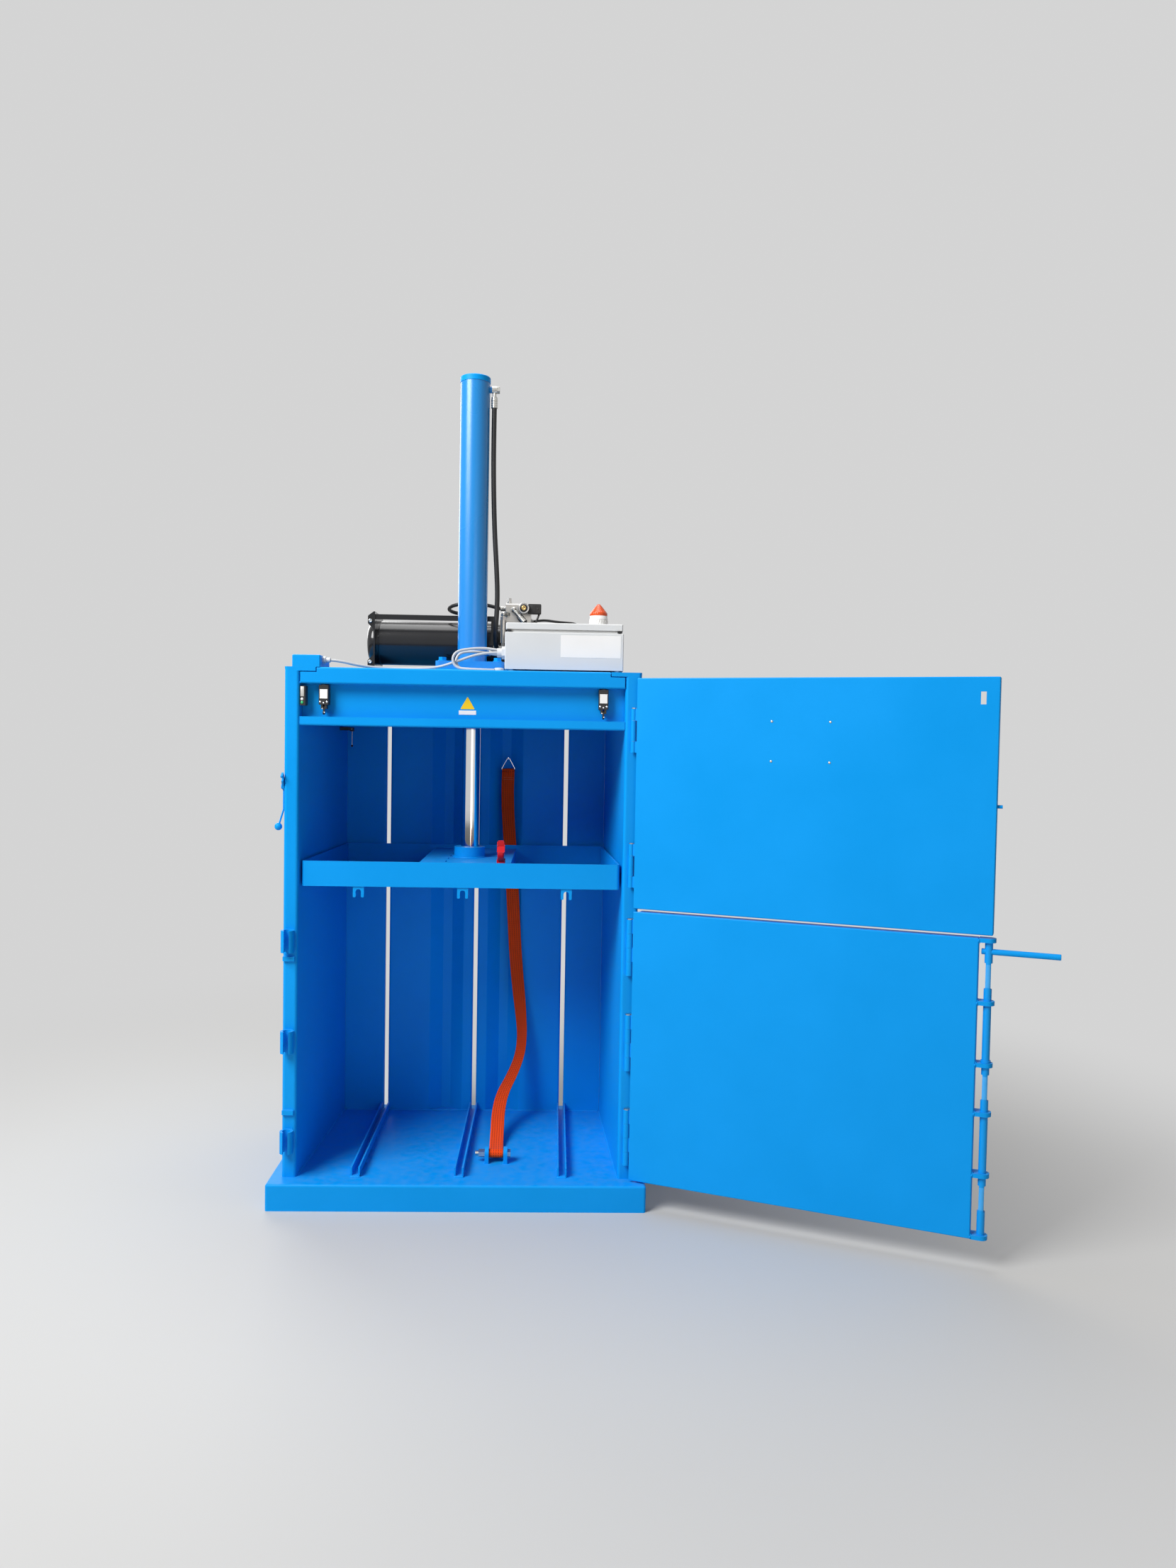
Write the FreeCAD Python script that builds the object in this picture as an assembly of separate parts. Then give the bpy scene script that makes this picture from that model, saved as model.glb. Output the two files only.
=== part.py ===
import FreeCAD, Part
import math
import os

# Vertical recycling baler: a pressing chamber of folded sheet on a tray base, two doors hung on the
# right post, one hydraulic cylinder standing on the roof and a power pack lying behind it.
# Millimetres. X runs to the right, Y to the back, Z up. The origin is the centre of the base's
# footprint, on the floor. The doors are drawn standing open and the ram half way down.

os.makedirs("parts", exist_ok=True)
V = FreeCAD.Vector
X_DIR, Y_DIR, Z_DIR = V(1, 0, 0), V(0, 1, 0), V(0, 0, 1)

# ---------------------------------------------------------------- clearances
RUNNING = 0.05        # radial play of a pin or shaft in its bore
SEAT_GAP = 0.2        # between a seated piece and its wall
FACE_GAP = 0.5        # between faces that pass or stand beside each other
LIFT_GAP = 0.3        # between a piece and the seat that carries it, where they move

# ---------------------------------------------------------------- base
BASE_SIDE = 38.0          # the base stands out this far at each side of the posts
BASE_DEPTH = 800.0
BASE_HEIGHT = 85.0
BASE_SHEET = 6.0
BASE_BEND = 8.0           # outer radius of the folded skirt
BASE_STEP = 62.0          # the base stands this far ahead of the posts
RIB_WIDTH = 70.0          # channels under the bale floor
RIB_PITCH = 370.0

# ---------------------------------------------------------------- body
BODY_TOP = 1711.0
OUTER_HALF = 562.0        # half the width over the posts
LEFT_POST = 46.0          # width of the posts' front faces
RIGHT_POST = 51.0
WALL_SHEET = 5.0
WALL_BEND = 5.0           # inner radius of the wall's folds
CHAMBER_DEPTH = 671.0
WALL_TAPER = 33.0         # each wall runs in by this much towards the back
REAR_POST = 40.0          # the walls run on behind the back panels
REAR_FLANGE = 36.0
POST_RETURN = 40.0
EAR_WIDTH = 97.0          # the posts' faces widen at the top, over the beam's ends
EAR_HEIGHT = 13.0
STIFFENER_HEIGHT = 60.0
STIFFENER_DEPTH = 34.0
STIFFENER_SHEET = 4.0
STIFFENER_LEVELS = (330.0, 860.0, 1390.0)
ROOF_SHEET = 8.0
ROOF_CHANNEL_HEIGHT = 90.0
ROOF_CHANNEL_WIDTH = 55.0
ROOF_CHANNEL_PITCH = 190.0

# ---------------------------------------------------------------- front beam
BEAM_SHEET = 4.0
BEAM_FACE = 52.0          # height of its bright front face
BEAM_TOP_DEPTH = 60.0
BEAM_WEB_SETBACK = 38.0
BEAM_BOTTOM = 1527.0
LIP_HEIGHT = 28.0
LIP_SETBACK = 4.0
BEAM_GAP = 3.0            # open joint between its bright face and the posts

# ---------------------------------------------------------------- wire lanes
LANE_CENTRE = 2.0
LANE_PITCH = 331.0
SLOT_WIDTH = 16.0         # tying slots in the back
SLOT_FLANGE = 26.0
BACK_SHEET = 4.0
BACK_RIB_DEPTH = 34.0
BACK_RIB_FLAT = 34.0
BACK_RIB_SLANT = 45.0
BACK_RIB_OFFSET = 107.0   # from the middle lane to each pressed rib
LANE_CHANNEL_WIDTH = 30.0
LANE_CHANNEL_HEIGHT = 31.0
LANE_CHANNEL_SHEET = 5.0
LANE_CHANNEL_START = 6.0  # behind the posts' faces

# ---------------------------------------------------------------- doors
HINGE_IN = 25.0
HINGE_OUT = 11.5          # the hinge pin stands this far ahead of the posts
DOOR_OPEN = 156.1         # how far the drawn doors stand open, in degrees
DOOR_FACE = 9.5           # inner face of the panels, from the hinge pin
DOOR_START = 14.0         # panels begin this far from the hinge pin
UPPER_OVERLAP = 11.0      # the upper door runs on past the lock bar's axis
DOOR_SHEET = 5.0
DOOR_RETURN = 34.0        # folded edges, from the inner face
DOOR_BEND = 4.0
LOWER_BOTTOM = 90.0
LOWER_TOP = 955.0
UPPER_BOTTOM = 964.0
UPPER_TOP = 1693.0
DOOR_RIB_WIDTH = 70.0
DOOR_RIB_SHEET = 3.0
HINGE_RIB_START = 34.0
PIN_RADIUS = 6.0
UPPER_BARREL = 8.5        # outer radii of the hinge barrels
LOWER_BARREL = 11.0
UPPER_HINGES = (1030.0, 1458.0)             # bottoms of the upper door's hinges
UPPER_KNUCKLES = (36.0, 65.0, 38.0)         # heights, bottom knuckle first
LOWER_HINGES = (136.0, 442.0, 748.0)
LOWER_KNUCKLES = (45.0, 45.0, 45.0, 45.0)
LEAF_SHEET = 4.0
LEAF_REACH = 46.0
SLOT_IN = 44.5            # interlock slot, from the upper door's free edge to its middle
DOOR_SLOT_WIDTH = 15.0
DOOR_SLOT_HEIGHT = 36.0
DOOR_SLOT_LEVEL = 1633.0
RIVET_SPACING_X = 175.0
RIVET_SPACING_Z = 120.0
RIVET_REACH = 532.0
RIVET_LEVEL = 1501.0
RIVET_RADIUS = 3.0
HANDLE_LEVEL = 1180.0     # grab handle outside the upper door
HANDLE_LENGTH = 180.0
HANDLE_RADIUS = 6.0
HANDLE_STAND = 45.0
STRIKER_LEVEL = 1328.0
STRIKER_RADIUS = 5.0
STRIKER_LENGTH = 14.0

# ---------------------------------------------------------------- lock bar
HOOK_IN = 20.0            # the hooks' middle, from the left post's outer face
HOOK_OUT = 21.5           # hook and closed lock bar, ahead of the posts
HOOK_RADIUS = 21.2
HOOK_BORE = 13.2
HOOK_SLOT = 16.0
HOOK_HEIGHT = 70.0
HOOK_LEVELS = (207.0, 527.0, 847.0)
BAR_RADIUS = 11.0
FLAT_THICKNESS = 14.0
FLAT_EXTRA = 2.0          # flats run past the hooks at each end
LUG_THICKNESS = 12.0
LUG_RADIUS = 19.5
LUG_ARM = 26.5            # from the lower door's free edge to the lock bar's axis
LUG_FEET = (90.0, 269.0, 446.0, 587.0, 764.0, 943.0)
LOCK_HANDLE_LEVEL = 916.0
LOCK_HANDLE_RADIUS = 8.5
LOCK_HANDLE_REACH = 190.0
LOCK_HANDLE_STUB = 20.0
STOP_LEVELS = (288.0, 781.0)
STOP_HEIGHT = 14.0
STOP_WIDTH = 38.0
STOP_DEPTH = 9.0          # less than the room behind the closed lock bar

# ---------------------------------------------------------------- cylinder, ram and platen
CYLINDER_X = 0.0
CYLINDER_BACK = 335.0     # cylinder axis, behind the posts' faces
TUBE_RADIUS = 50.0
TUBE_BORE = 42.5
TUBE_TOP = 2703.0
TUBE_BELOW_ROOF = 60.0
CAP_RADIUS = 51.5
CAP_HEIGHT = 19.0
FLANGE_WIDTH = 230.0
FLANGE_HEIGHT = 25.0
SEAT_HEIGHT = 16.0
FLANGE_CORNER = 14.0
FLANGE_BOLT_PITCH = 184.0
FLANGE_BOLT_RADIUS = 8.0
GLAND_LENGTH = 55.0
GLAND_LIP = 12.0
ROD_RADIUS = 31.5
PISTON_LENGTH = 60.0
PISTON_LEVEL = 2290.0     # top of the piston as drawn
PORT_DROP = 21.0          # upper oil port, below the tube's end
LOW_PORT_LEVEL = 1790.0
LOW_PORT_TURN = 18.0      # degrees from the X axis towards the back
PLATEN_BOTTOM = 1018.0
PLATEN_HEIGHT = 80.0
PLATEN_SHEET = 6.0
PLATEN_FRONT = 15.0
PLATEN_DEPTH = 630.0
PLATEN_SIDE_GAP = 7.5
PLATEN_CORNER = 10.0
BEAM_HALF = 150.0         # centre box of the platen
BEAM_DROP = 13.0          # its top lies this far below the rim
BOSS_RADIUS = 53.0
BOSS_HEIGHT = 36.0
STITCH_X = -66.0          # open seam beside the boss
STITCH_COUNT = 6
FORK_WIDTH = 35.0
FORK_HEIGHT = 35.0
FORK_SHEET = 9.0
FORK_DEPTH = 22.0
HOOK_PLACE_X = 120.0      # ejection hook on the platen
HOOK_PLACE_BACK = 78.0
HOOK_BOWL = 17.0          # inner radius of the ejection hook's bowl
HOOK_SECTION = 9.0
HOOK_RISE = 46.0          # centre of the bowl above the platen's middle plate
HOOK_HALF = 10.0
LATCH_PIN = 2.0

# ---------------------------------------------------------------- ejection strap
STRAP_LUG_INNER = 24.5    # half the room between the lugs
STRAP_LUG_SHEET = 13.0
STRAP_LUG_HEIGHT = 55.0
STRAP_LUG_DEPTH = 44.0
STRAP_BOLT_X = 115.0
STRAP_BOLT_BACK = 145.0
STRAP_BOLT_LIFT = 29.0
STRAP_BOLT_RADIUS = 8.0
STRAP_WIDTH = 47.0
STRAP_THICKNESS = 2.6
STRAP_LOOP = 12.0         # inner radius of its end loop
RING_WIRE = 3.0
RING_LEVEL = 1378.0       # lower bar of the triangle ring
RING_X = 117.0
RING_BACK = 655.0
RING_HEIGHT = 50.0
RING_HALF = 27.0
RING_BEND = 5.0
RING_ROD = 2.5            # bent rod that the ring hangs on
STRAP_ROUTE = ((115, 168, 20, 0), (112, 215, 7, 0), (109, 280, 12, 0), (108, 350, 34, 0),
               (107, 430, 74, -4), (117, 498, 119, -12), (151, 560, 170, -26), (178, 607, 232, -38),
               (184, 634, 300, -40), (178, 648, 370, -30), (170, 655, 440, -14), (161, 656, 520, -6),
               (152, 658, 620, 0), (146, 659, 720, 0), (134, 660, 915, 0), (127, 660, 1015, 0),
               (119, 659, 1115, 0), (115, 657, 1215, 0), (117, 655.3, 1268, 0),
               (117, 655, RING_LEVEL - BASE_HEIGHT - 4, 0))

# ---------------------------------------------------------------- power pack
PACK_BACK = 520.0         # its axis, behind the posts' faces
PACK_LEVEL = 1830.0
TANK_RADIUS = 78.0
TANK_LEFT = -386.0
TANK_CROWN = 300.0        # radius of the tank's domed end
TANK_CORNER = 30.0        # and of its rounded corner
TANK_RIGHT = 58.0
PUMP_RIGHT = 200.0
PUMP_RADIUS = 74.0
MOTOR_RADIUS = 69.0
MOTOR_LENGTH = 210.0
FIN_HEIGHT = 9.0
TERMINAL_START = 60.0
TERMINAL_LENGTH = 100.0
TERMINAL_HEIGHT = 42.0
FIN_COUNT = 28
FAN_COVER_LENGTH = 48.0
BRACKET_SHEET = 5.0
BRACKET_DEPTH = 190.0
BRACKET_PLACE = -353.0    # left face of the end plate that holds the tank
BRACKET_TOP = 1933.0
BRACKET_FLANGE = 19.5     # ears folded outwards from it
UPPER_EAR = (41.0, 61.0, 88.0)              # its slanted ends, above the tank's axis
LOWER_EAR = (48.0, 68.0)                    # and below it
RAIL_HEIGHT = 18.0
RAIL_LEVEL = 1915.0
BRACKET_BOLT_LEVELS = (1757.0, 1900.0)
RAIL_SHEET = 6.0
VALVE_LEFT = 106.0
VALVE_WIDTH = 91.0
VALVE_DEPTH = 84.0
VALVE_TOP = 1975.0
COIL_RADIUS = 17.5
RETURN_PORT_X = 30.0
PUMP_PORT_X = 88.0
PUMP_PORT_Z = 1806.0

# ---------------------------------------------------------------- electrical enclosure and beacon
BOX_LEFT = 124.0
BOX_WIDTH = 381.0
BOX_FRONT = 60.0
BOX_DEPTH = 300.0
BOX_FEET = 8.0
BOX_BODY = 119.0
BOX_SHEET = 2.0
BOX_NECK = 11.0
BOX_NECK_INSET = 8.0
LID_HEIGHT = 21.0
LID_INSET = 2.5
LID_GAP = 9.5             # from the body's shoulder to the lid's edge
LID_LOCK_IN = 60.0        # the lid's locks, from its sides
LID_LOCK_BACK = 22.0      # and from its rear edge
LID_AXIS_IN = 3.5         # the lid's hinge axis, behind the box's front side
LID_AXIS_DROP = 4.5       # and below the lid's edge
LID_KNUCKLE = 3.5
LID_HINGE_IN = 5.0
LID_HINGE_WIDTH = 15.0
BEACON_X = 428.0
BEACON_BACK = 200.0
BEACON_RADIUS = 30.0
BEACON_BASE = 39.0
BEACON_LENS = 40.0
GLAND_RADIUS = 18.0
GLAND_BACK = 120.0
GLAND_LEVEL = 1774.0
INTERLOCK_BOX_IN = 23.0
INTERLOCK_BOX_WIDTH = 88.0
INTERLOCK_BOX_DEPTH = 150.0
INTERLOCK_BOX_HEIGHT = 38.0
SMALL_GLAND_BACK = 40.0
SMALL_GLAND_LEVEL = 1735.0

# ---------------------------------------------------------------- switches
SWITCH_WIDTH = 31.0
SWITCH_HEIGHT = 62.0
SWITCH_DEPTH = 29.0
SWITCH_LEVEL = 1593.0
INTERLOCK_LEVEL = 1620.5
INTERLOCK_HEIGHT = 61.0
SWITCH_IN = 120.5         # position switches, from the posts' outer faces
ROLLER_RADIUS = 6.0
LEVER_DROP = 17.0
WAND_BACK = 552.0
WAND_LEVEL = 1520.0
WAND_TIP = 1456.0
WAND_REACH = 36.0
LATCH_LEVEL = 1333.0
LATCH_BACK = 16.0
LATCH_ARM = 128.0
LATCH_ELBOW = 72.0
LATCH_ROD = 2.7
LATCH_SWING = 55.0        # degrees from lying open to holding the striker
BALL_RADIUS = 12.0

# ---------------------------------------------------------------- places worked out from the sizes above
FRONT = -BASE_DEPTH / 2 + BASE_STEP        # the posts' front plane
BACK = FRONT + CHAMBER_DEPTH               # inner face of the back panels
REAR = BACK + REAR_POST
ROOF_UNDER = BODY_TOP - ROOF_SHEET
BASE_WIDTH = 2 * (OUTER_HALF + BASE_SIDE)
LEFT_INNER = OUTER_HALF - LEFT_POST
RIGHT_INNER = OUTER_HALF - RIGHT_POST
LANES = [LANE_CENTRE + step * LANE_PITCH for step in (-1, 0, 1)]
CYLINDER_Y = FRONT + CYLINDER_BACK
PORT_LEVEL = TUBE_TOP - PORT_DROP
HINGE_Y = FRONT - HINGE_OUT
HOOK_X = HOOK_IN - OUTER_HALF
HINGE_X = OUTER_HALF - HINGE_IN
BAR_REACH = HINGE_X - HOOK_X
UPPER_REACH = BAR_REACH + UPPER_OVERLAP    # the doors' free edges, from the hinge pin
LOWER_REACH = BAR_REACH - LUG_ARM
BAR_OUT = HOOK_OUT - HINGE_OUT             # lock bar, behind the hinge pin in the door's own frame
PACK_Y = FRONT + PACK_BACK
INTERLOCK_BOX_X = INTERLOCK_BOX_IN - OUTER_HALF
SWITCH_PLACES = {"left": SWITCH_IN - OUTER_HALF, "right": OUTER_HALF - SWITCH_IN}
BEAM_HALF_TOP = OUTER_HALF - EAR_WIDTH - BEAM_GAP
LID_BOTTOM = BODY_TOP + BOX_FEET + BOX_BODY + LID_GAP
LID_TOP = LID_BOTTOM + LID_HEIGHT
PLATEN_TOP = PLATEN_BOTTOM + PLATEN_HEIGHT
BEAM_TOP = PLATEN_TOP - BEAM_DROP

# ---------------------------------------------------------------- hoses and cables
# Places are (across, behind the posts, up).
PRESSURE_DIAMETER = 17.0
HOSE_LOW = 2000.0         # foot of the pressure hose's long fall
HOSE_FALL = PORT_LEVEL - HOSE_LOW
PRESSURE_ROUTE = ((65, 335, PORT_LEVEL - 62), (64, 336, PORT_LEVEL - 0.267 * HOSE_FALL),
                  (66, 335, PORT_LEVEL - 0.487 * HOSE_FALL), (71, 336, PORT_LEVEL - 0.692 * HOSE_FALL),
                  (79, 335, PORT_LEVEL - 0.868 * HOSE_FALL), (84, 336, HOSE_LOW), (83, 336, 1935),
                  (80, 335, 1882), (77, 359, 1840), (79, 400, 1816))
ROD_SIDE_ROUTE = ((176, 430, 1905), (184, 418, 1882), (186, 409, 1856), (182, 401, 1830), (168, 392, 1806),
                  (144, 383, 1790), (116, 375, 1788))
RETURN_DIAMETER = 13.0
RETURN_ROUTE = ((88, 492, 1958), (55, 489, 1967), (10, 476, 1973), (-40, 473, 1972), (-84, 490, 1966),
                (-103, 533, 1958), (-90, 577, 1951), (-50, 603, 1947), (-6, 600, 1946), (25, 573, 1941),
                (33, 540, 1930))
CABLE_DIAMETER = 9.0
INTERLOCK_CABLE = ((97, 112, 1774), (64, 111, 1773), (15, 112, 1762), (-38, 113, 1741), (-95, 114, 1722),
                   (-160, 112, 1716.5), (-235, 106, 1716.2), (-300, 86, 1717), (-352, 60, 1723),
                   (-394, 45, 1733), (-427, 40, 1735))
SWITCH_CABLE_ONE = ((97, 120, 1783), (66, 118, 1788), (18, 112, 1786), (-28, 106, 1778), (-45, 103, 1761),
                    (-45, 100, 1737), (-28, 97, 1720), (16, 90, 1717.5), (62, 88, 1716.3), (89, 94, 1716.5))
SWITCH_CABLE_TWO = ((97, 128, 1768), (68, 131, 1773), (24, 132, 1778), (-19, 130, 1775), (-36, 127, 1758),
                    (-36, 115, 1734), (-19, 112, 1717.5), (23, 105, 1716.5), (66, 102, 1716.3),
                    (89, 106, 1716.5))
COIL_CABLE = ((226, 454, 1936), (219, 450, 1916), (210, 444, 1892), (203, 431, 1868), (202, 411, 1848),
              (205, 388, 1834), (206, 369, 1828))
SENSOR_CABLE = ((206, 505, 1917), (226, 503, 1920), (252, 500, 1921), (282, 498, 1917), (318, 500, 1914),
                (348, 514, 1913.5), (364, 542, 1911), (362, 572, 1899), (354, 596, 1884))
GROMMET_X = 104.0
GROMMET_BACK = 100.0
CABLE_HOLE = 16.0

# ---------------------------------------------------------------- shapes from simple operations


def block(x0, x1, y0, y1, z0, z1):
    """Rectangular solid between two corners."""
    return Part.makeBox(x1 - x0, y1 - y0, z1 - z0, V(x0, y0, z0))


def bar(radius, start, direction, length):
    """Round bar."""
    return Part.makeCylinder(radius, length, start, direction)


def pipe(outer, inner, start, direction, length):
    """Round tube."""
    return bar(outer, start, direction, length).cut(bar(inner, start, direction, length))


def join(first, *others):
    """One solid from pieces that are one piece on the machine."""
    return first.fuse(list(others)).removeSplitter()


def rounded_path(points, radii):
    """Edges of straight runs through the points, with a tangent arc at each inner point."""
    edges = []
    last = points[0]
    for corner, radius, before, after in zip(points[1:-1], radii, points, points[2:]):
        back = (before - corner).normalize()
        ahead = (after - corner).normalize()
        half = back.getAngle(ahead) / 2
        middle = (back + ahead).normalize()
        start = corner + back * (radius / math.tan(half))
        end = corner + ahead * (radius / math.tan(half))
        crown = corner + middle * (radius / math.sin(half) - radius)
        edges.append(Part.makeLine(last, start))
        edges.append(Part.Arc(start, crown, end).toShape())
        last = end
    edges.append(Part.makeLine(last, points[-1]))
    return edges


def folded(points, sheet, inner_radius, normal):
    """Face of a folded sheet: the points run along one side of it, and it lies to their left."""
    runs = [(b - a).normalize() for a, b in zip(points, points[1:])]
    lefts = [normal.cross(run) for run in runs]
    other = [points[0] + lefts[0] * sheet]
    for corner, one, two in zip(points[1:-1], lefts, lefts[1:]):
        other.append(corner + (one + two) * (sheet / (1 + one.dot(two))))
    other.append(points[-1] + lefts[-1] * sheet)
    turns = [normal.dot(one.cross(two)) > 0 for one, two in zip(runs, runs[1:])]
    near = [inner_radius + sheet if left else inner_radius for left in turns]
    far = [inner_radius if left else inner_radius + sheet for left in turns]
    edges = rounded_path(points, near)
    edges.append(Part.makeLine(points[-1], other[-1]))
    edges += rounded_path(other[::-1], far[::-1])
    edges.append(Part.makeLine(other[0], points[0]))
    return Part.Face(Part.Wire(edges))


def plate(outline, direction):
    """Flat plate: a closed outline of points, pushed through its thickness."""
    return Part.Face(Part.makePolygon(outline + [outline[0]])).extrude(direction)


def round_edges(shape, radius, chosen):
    """Round the edges that the test picks."""
    return shape.makeFillet(radius, [edge for edge in shape.Edges if chosen(edge)])


def runs_along(edge, direction):
    """True for a straight edge that runs along a direction."""
    if not isinstance(edge.Curve, Part.Line):
        return False
    return abs(abs(edge.Curve.Direction.dot(direction)) - 1) < 1e-6


def hexagon(radius, start, direction, length):
    """Hexagonal head or nut; radius is half the width over the flats."""
    side = direction.cross(V(0.3, 0.5, 0.8)).normalize()
    across = direction.cross(side).normalize()
    reach = radius / math.cos(math.pi / 6)
    corners = []
    for k in range(6):
        turn = k * math.pi / 3
        corners.append(start + side * (reach * math.cos(turn)) + across * (reach * math.sin(turn)))
    return plate(corners, direction * length)


def along(points, diameter, name):
    """Round tube along straight runs with the largest tangent arcs that the runs allow."""
    radii = []
    for before, corner, after in zip(points, points[1:], points[2:]):
        shorter = min((corner - before).Length, (after - corner).Length)
        turn = (corner - before).getAngle(after - corner)
        radii.append(0.45 * shorter / math.tan(turn / 2))
    spine = Part.Wire(rounded_path(points, radii))
    circle = Part.Wire(Part.makeCircle(diameter / 2, points[0], points[1] - points[0]))
    tube = spine.makePipeShell([circle], True, False)
    ratio = tube.Volume / (math.pi * diameter ** 2 / 4 * spine.Length)
    print(name, "length %.0f" % spine.Length, "radii", [round(r) for r in radii], "volume %.4f" % ratio)
    return tube


def skin(side, y, inner=None):
    """X of a side wall's inner face at a depth; side is -1 on the left, 1 on the right."""
    start = inner or (LEFT_INNER if side < 0 else RIGHT_INNER)
    return side * (start - WALL_TAPER * (y - FRONT) / CHAMBER_DEPTH)


def chamber_prism(gap, z0, z1, y0=FRONT, y1=BACK):
    """The room between the tapered walls, drawn in by a gap."""
    outline = [V(skin(-1, y0) + gap, y0, z0), V(skin(1, y0) - gap, y0, z0),
               V(skin(1, y1) - gap, y1, z0), V(skin(-1, y1) + gap, y1, z0)]
    return plate(outline, V(0, 0, z1 - z0))


def on_door(shape):
    """Set a shape, drawn from the hinge pin with the door along X, on the open door."""
    placed = shape.copy()
    placed.rotate(V(0, 0, 0), Z_DIR, DOOR_OPEN - 180)
    placed.translate(V(HINGE_X, HINGE_Y, 0))
    return placed


# ---------------------------------------------------------------- base and body


def base_tray():
    """Bale floor and skirt, folded from one sheet and open below."""
    half, deep = BASE_WIDTH / 2, BASE_DEPTH / 2
    outer = block(-half, half, -deep, deep, 0, BASE_HEIGHT)
    outer = round_edges(outer, BASE_BEND, lambda e: e.CenterOfMass.z > 1)
    inner = block(-half + BASE_SHEET, half - BASE_SHEET, -deep + BASE_SHEET, deep - BASE_SHEET,
                  -1, BASE_HEIGHT - BASE_SHEET)
    inner = round_edges(inner, BASE_BEND - BASE_SHEET, lambda e: e.CenterOfMass.z > 0)
    return outer.cut(inner)


def base_ribs():
    """Channels under the bale floor, webs down, that carry the pressing force."""
    top = BASE_HEIGHT - BASE_SHEET
    deep = BASE_DEPTH / 2 - BASE_SHEET - WALL_BEND
    ribs = []
    for x in (-RIB_PITCH, 0, RIB_PITCH):
        left, right = x - RIB_WIDTH / 2, x + RIB_WIDTH / 2
        path = [V(left, -deep, top), V(left, -deep, 0), V(right, -deep, 0), V(right, -deep, top)]
        ribs.append(folded(path, BASE_SHEET, WALL_BEND, -Y_DIR).extrude(V(0, 2 * deep, 0)))
    return Part.makeCompound(ribs)


def side_wall(side):
    """Rear flange, tapered inner skin, front post and its return, folded from one sheet."""
    path = [V(skin(side, REAR) + side * REAR_FLANGE, REAR, BASE_HEIGHT),
            V(skin(side, REAR), REAR, BASE_HEIGHT),
            V(skin(side, FRONT), FRONT, BASE_HEIGHT),
            V(side * OUTER_HALF, FRONT, BASE_HEIGHT),
            V(side * OUTER_HALF, FRONT + POST_RETURN, BASE_HEIGHT)]
    wall = folded(path, WALL_SHEET, WALL_BEND, Z_DIR * side).extrude(V(0, 0, BODY_TOP - BASE_HEIGHT))
    ends = sorted((side * (OUTER_HALF - EAR_WIDTH), side * (OUTER_HALF - WALL_SHEET - WALL_BEND)))
    ear = block(ends[0], ends[1], FRONT, FRONT + WALL_SHEET, BODY_TOP - EAR_HEIGHT, BODY_TOP)
    roof_room = block(-OUTER_HALF, OUTER_HALF, FRONT + WALL_SHEET, REAR, ROOF_UNDER, BODY_TOP + 1)
    return join(wall, ear).cut(roof_room)


def side_stiffeners(side):
    """Channels across the outside of a side wall."""
    start = FRONT + POST_RETURN + 20
    length = REAR - 20 - start
    bars = []
    for level in STIFFENER_LEVELS:
        root = skin(side, start) + side * (WALL_SHEET + SEAT_GAP)
        tip = root + side * STIFFENER_DEPTH
        low, high = level - STIFFENER_HEIGHT / 2, level + STIFFENER_HEIGHT / 2
        path = [V(root, start, low), V(tip, start, low), V(tip, start, high), V(root, start, high)]
        channel = folded(path, STIFFENER_SHEET, STIFFENER_SHEET, Y_DIR * -side).extrude(V(0, length, 0))
        lean = math.degrees(math.atan(WALL_TAPER / CHAMBER_DEPTH))
        channel.rotate(V(root, start, low), Z_DIR, side * lean)
        bars.append(channel)
    return Part.makeCompound(bars)


def back_panel(path):
    """One strip of the back, folded outwards at the tying slots."""
    points = [V(x, BACK + back, BASE_HEIGHT) for x, back in path]
    height = ROOF_UNDER - BASE_HEIGHT
    return folded(points, BACK_SHEET, BACK_SHEET, Z_DIR).extrude(V(0, 0, height))


def back_panels():
    """Four strips: two plain ones beside the walls, and two with a pressed rib between the slots."""
    half = SLOT_WIDTH / 2
    left, middle, right = LANES
    outer_left = [(skin(-1, BACK) + FACE_GAP, 0), (left - half, 0), (left - half, SLOT_FLANGE)]
    outer_right = [(right + half, SLOT_FLANGE), (right + half, 0), (skin(1, BACK) - FACE_GAP, 0)]
    strips = [outer_left, outer_right]
    for start, end, side in ((left, middle, -1), (middle, right, 1)):
        rib = middle + side * BACK_RIB_OFFSET
        wide = BACK_RIB_FLAT / 2 + BACK_RIB_SLANT
        strips.append([(start + half, SLOT_FLANGE), (start + half, 0), (rib - wide, 0),
                       (rib - BACK_RIB_FLAT / 2, BACK_RIB_DEPTH), (rib + BACK_RIB_FLAT / 2, BACK_RIB_DEPTH),
                       (rib + wide, 0), (end - half, 0), (end - half, SLOT_FLANGE)])
    return [back_panel(path) for path in strips]


def roof_plate():
    """Top plate with the hole for the cylinder; it gives way to the front beam's top flange."""
    low, high = FRONT + WALL_SHEET, FRONT + BEAM_TOP_DEPTH + FACE_GAP
    notch = OUTER_HALF - EAR_WIDTH
    outline = [V(-OUTER_HALF, low, ROOF_UNDER), V(-notch, low, ROOF_UNDER), V(-notch, high, ROOF_UNDER),
               V(notch, high, ROOF_UNDER), V(notch, low, ROOF_UNDER), V(OUTER_HALF, low, ROOF_UNDER),
               V(OUTER_HALF, REAR, ROOF_UNDER), V(-OUTER_HALF, REAR, ROOF_UNDER)]
    hole = bar(TUBE_RADIUS + 2, V(CYLINDER_X, CYLINDER_Y, ROOF_UNDER - 1), Z_DIR, ROOF_SHEET + 2)
    grommet_hole = bar(CABLE_HOLE, V(GROMMET_X, FRONT + GROMMET_BACK, ROOF_UNDER - 1), Z_DIR, ROOF_SHEET + 2)
    return plate(outline, V(0, 0, ROOF_SHEET)).cut(hole).cut(grommet_hole)


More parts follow.
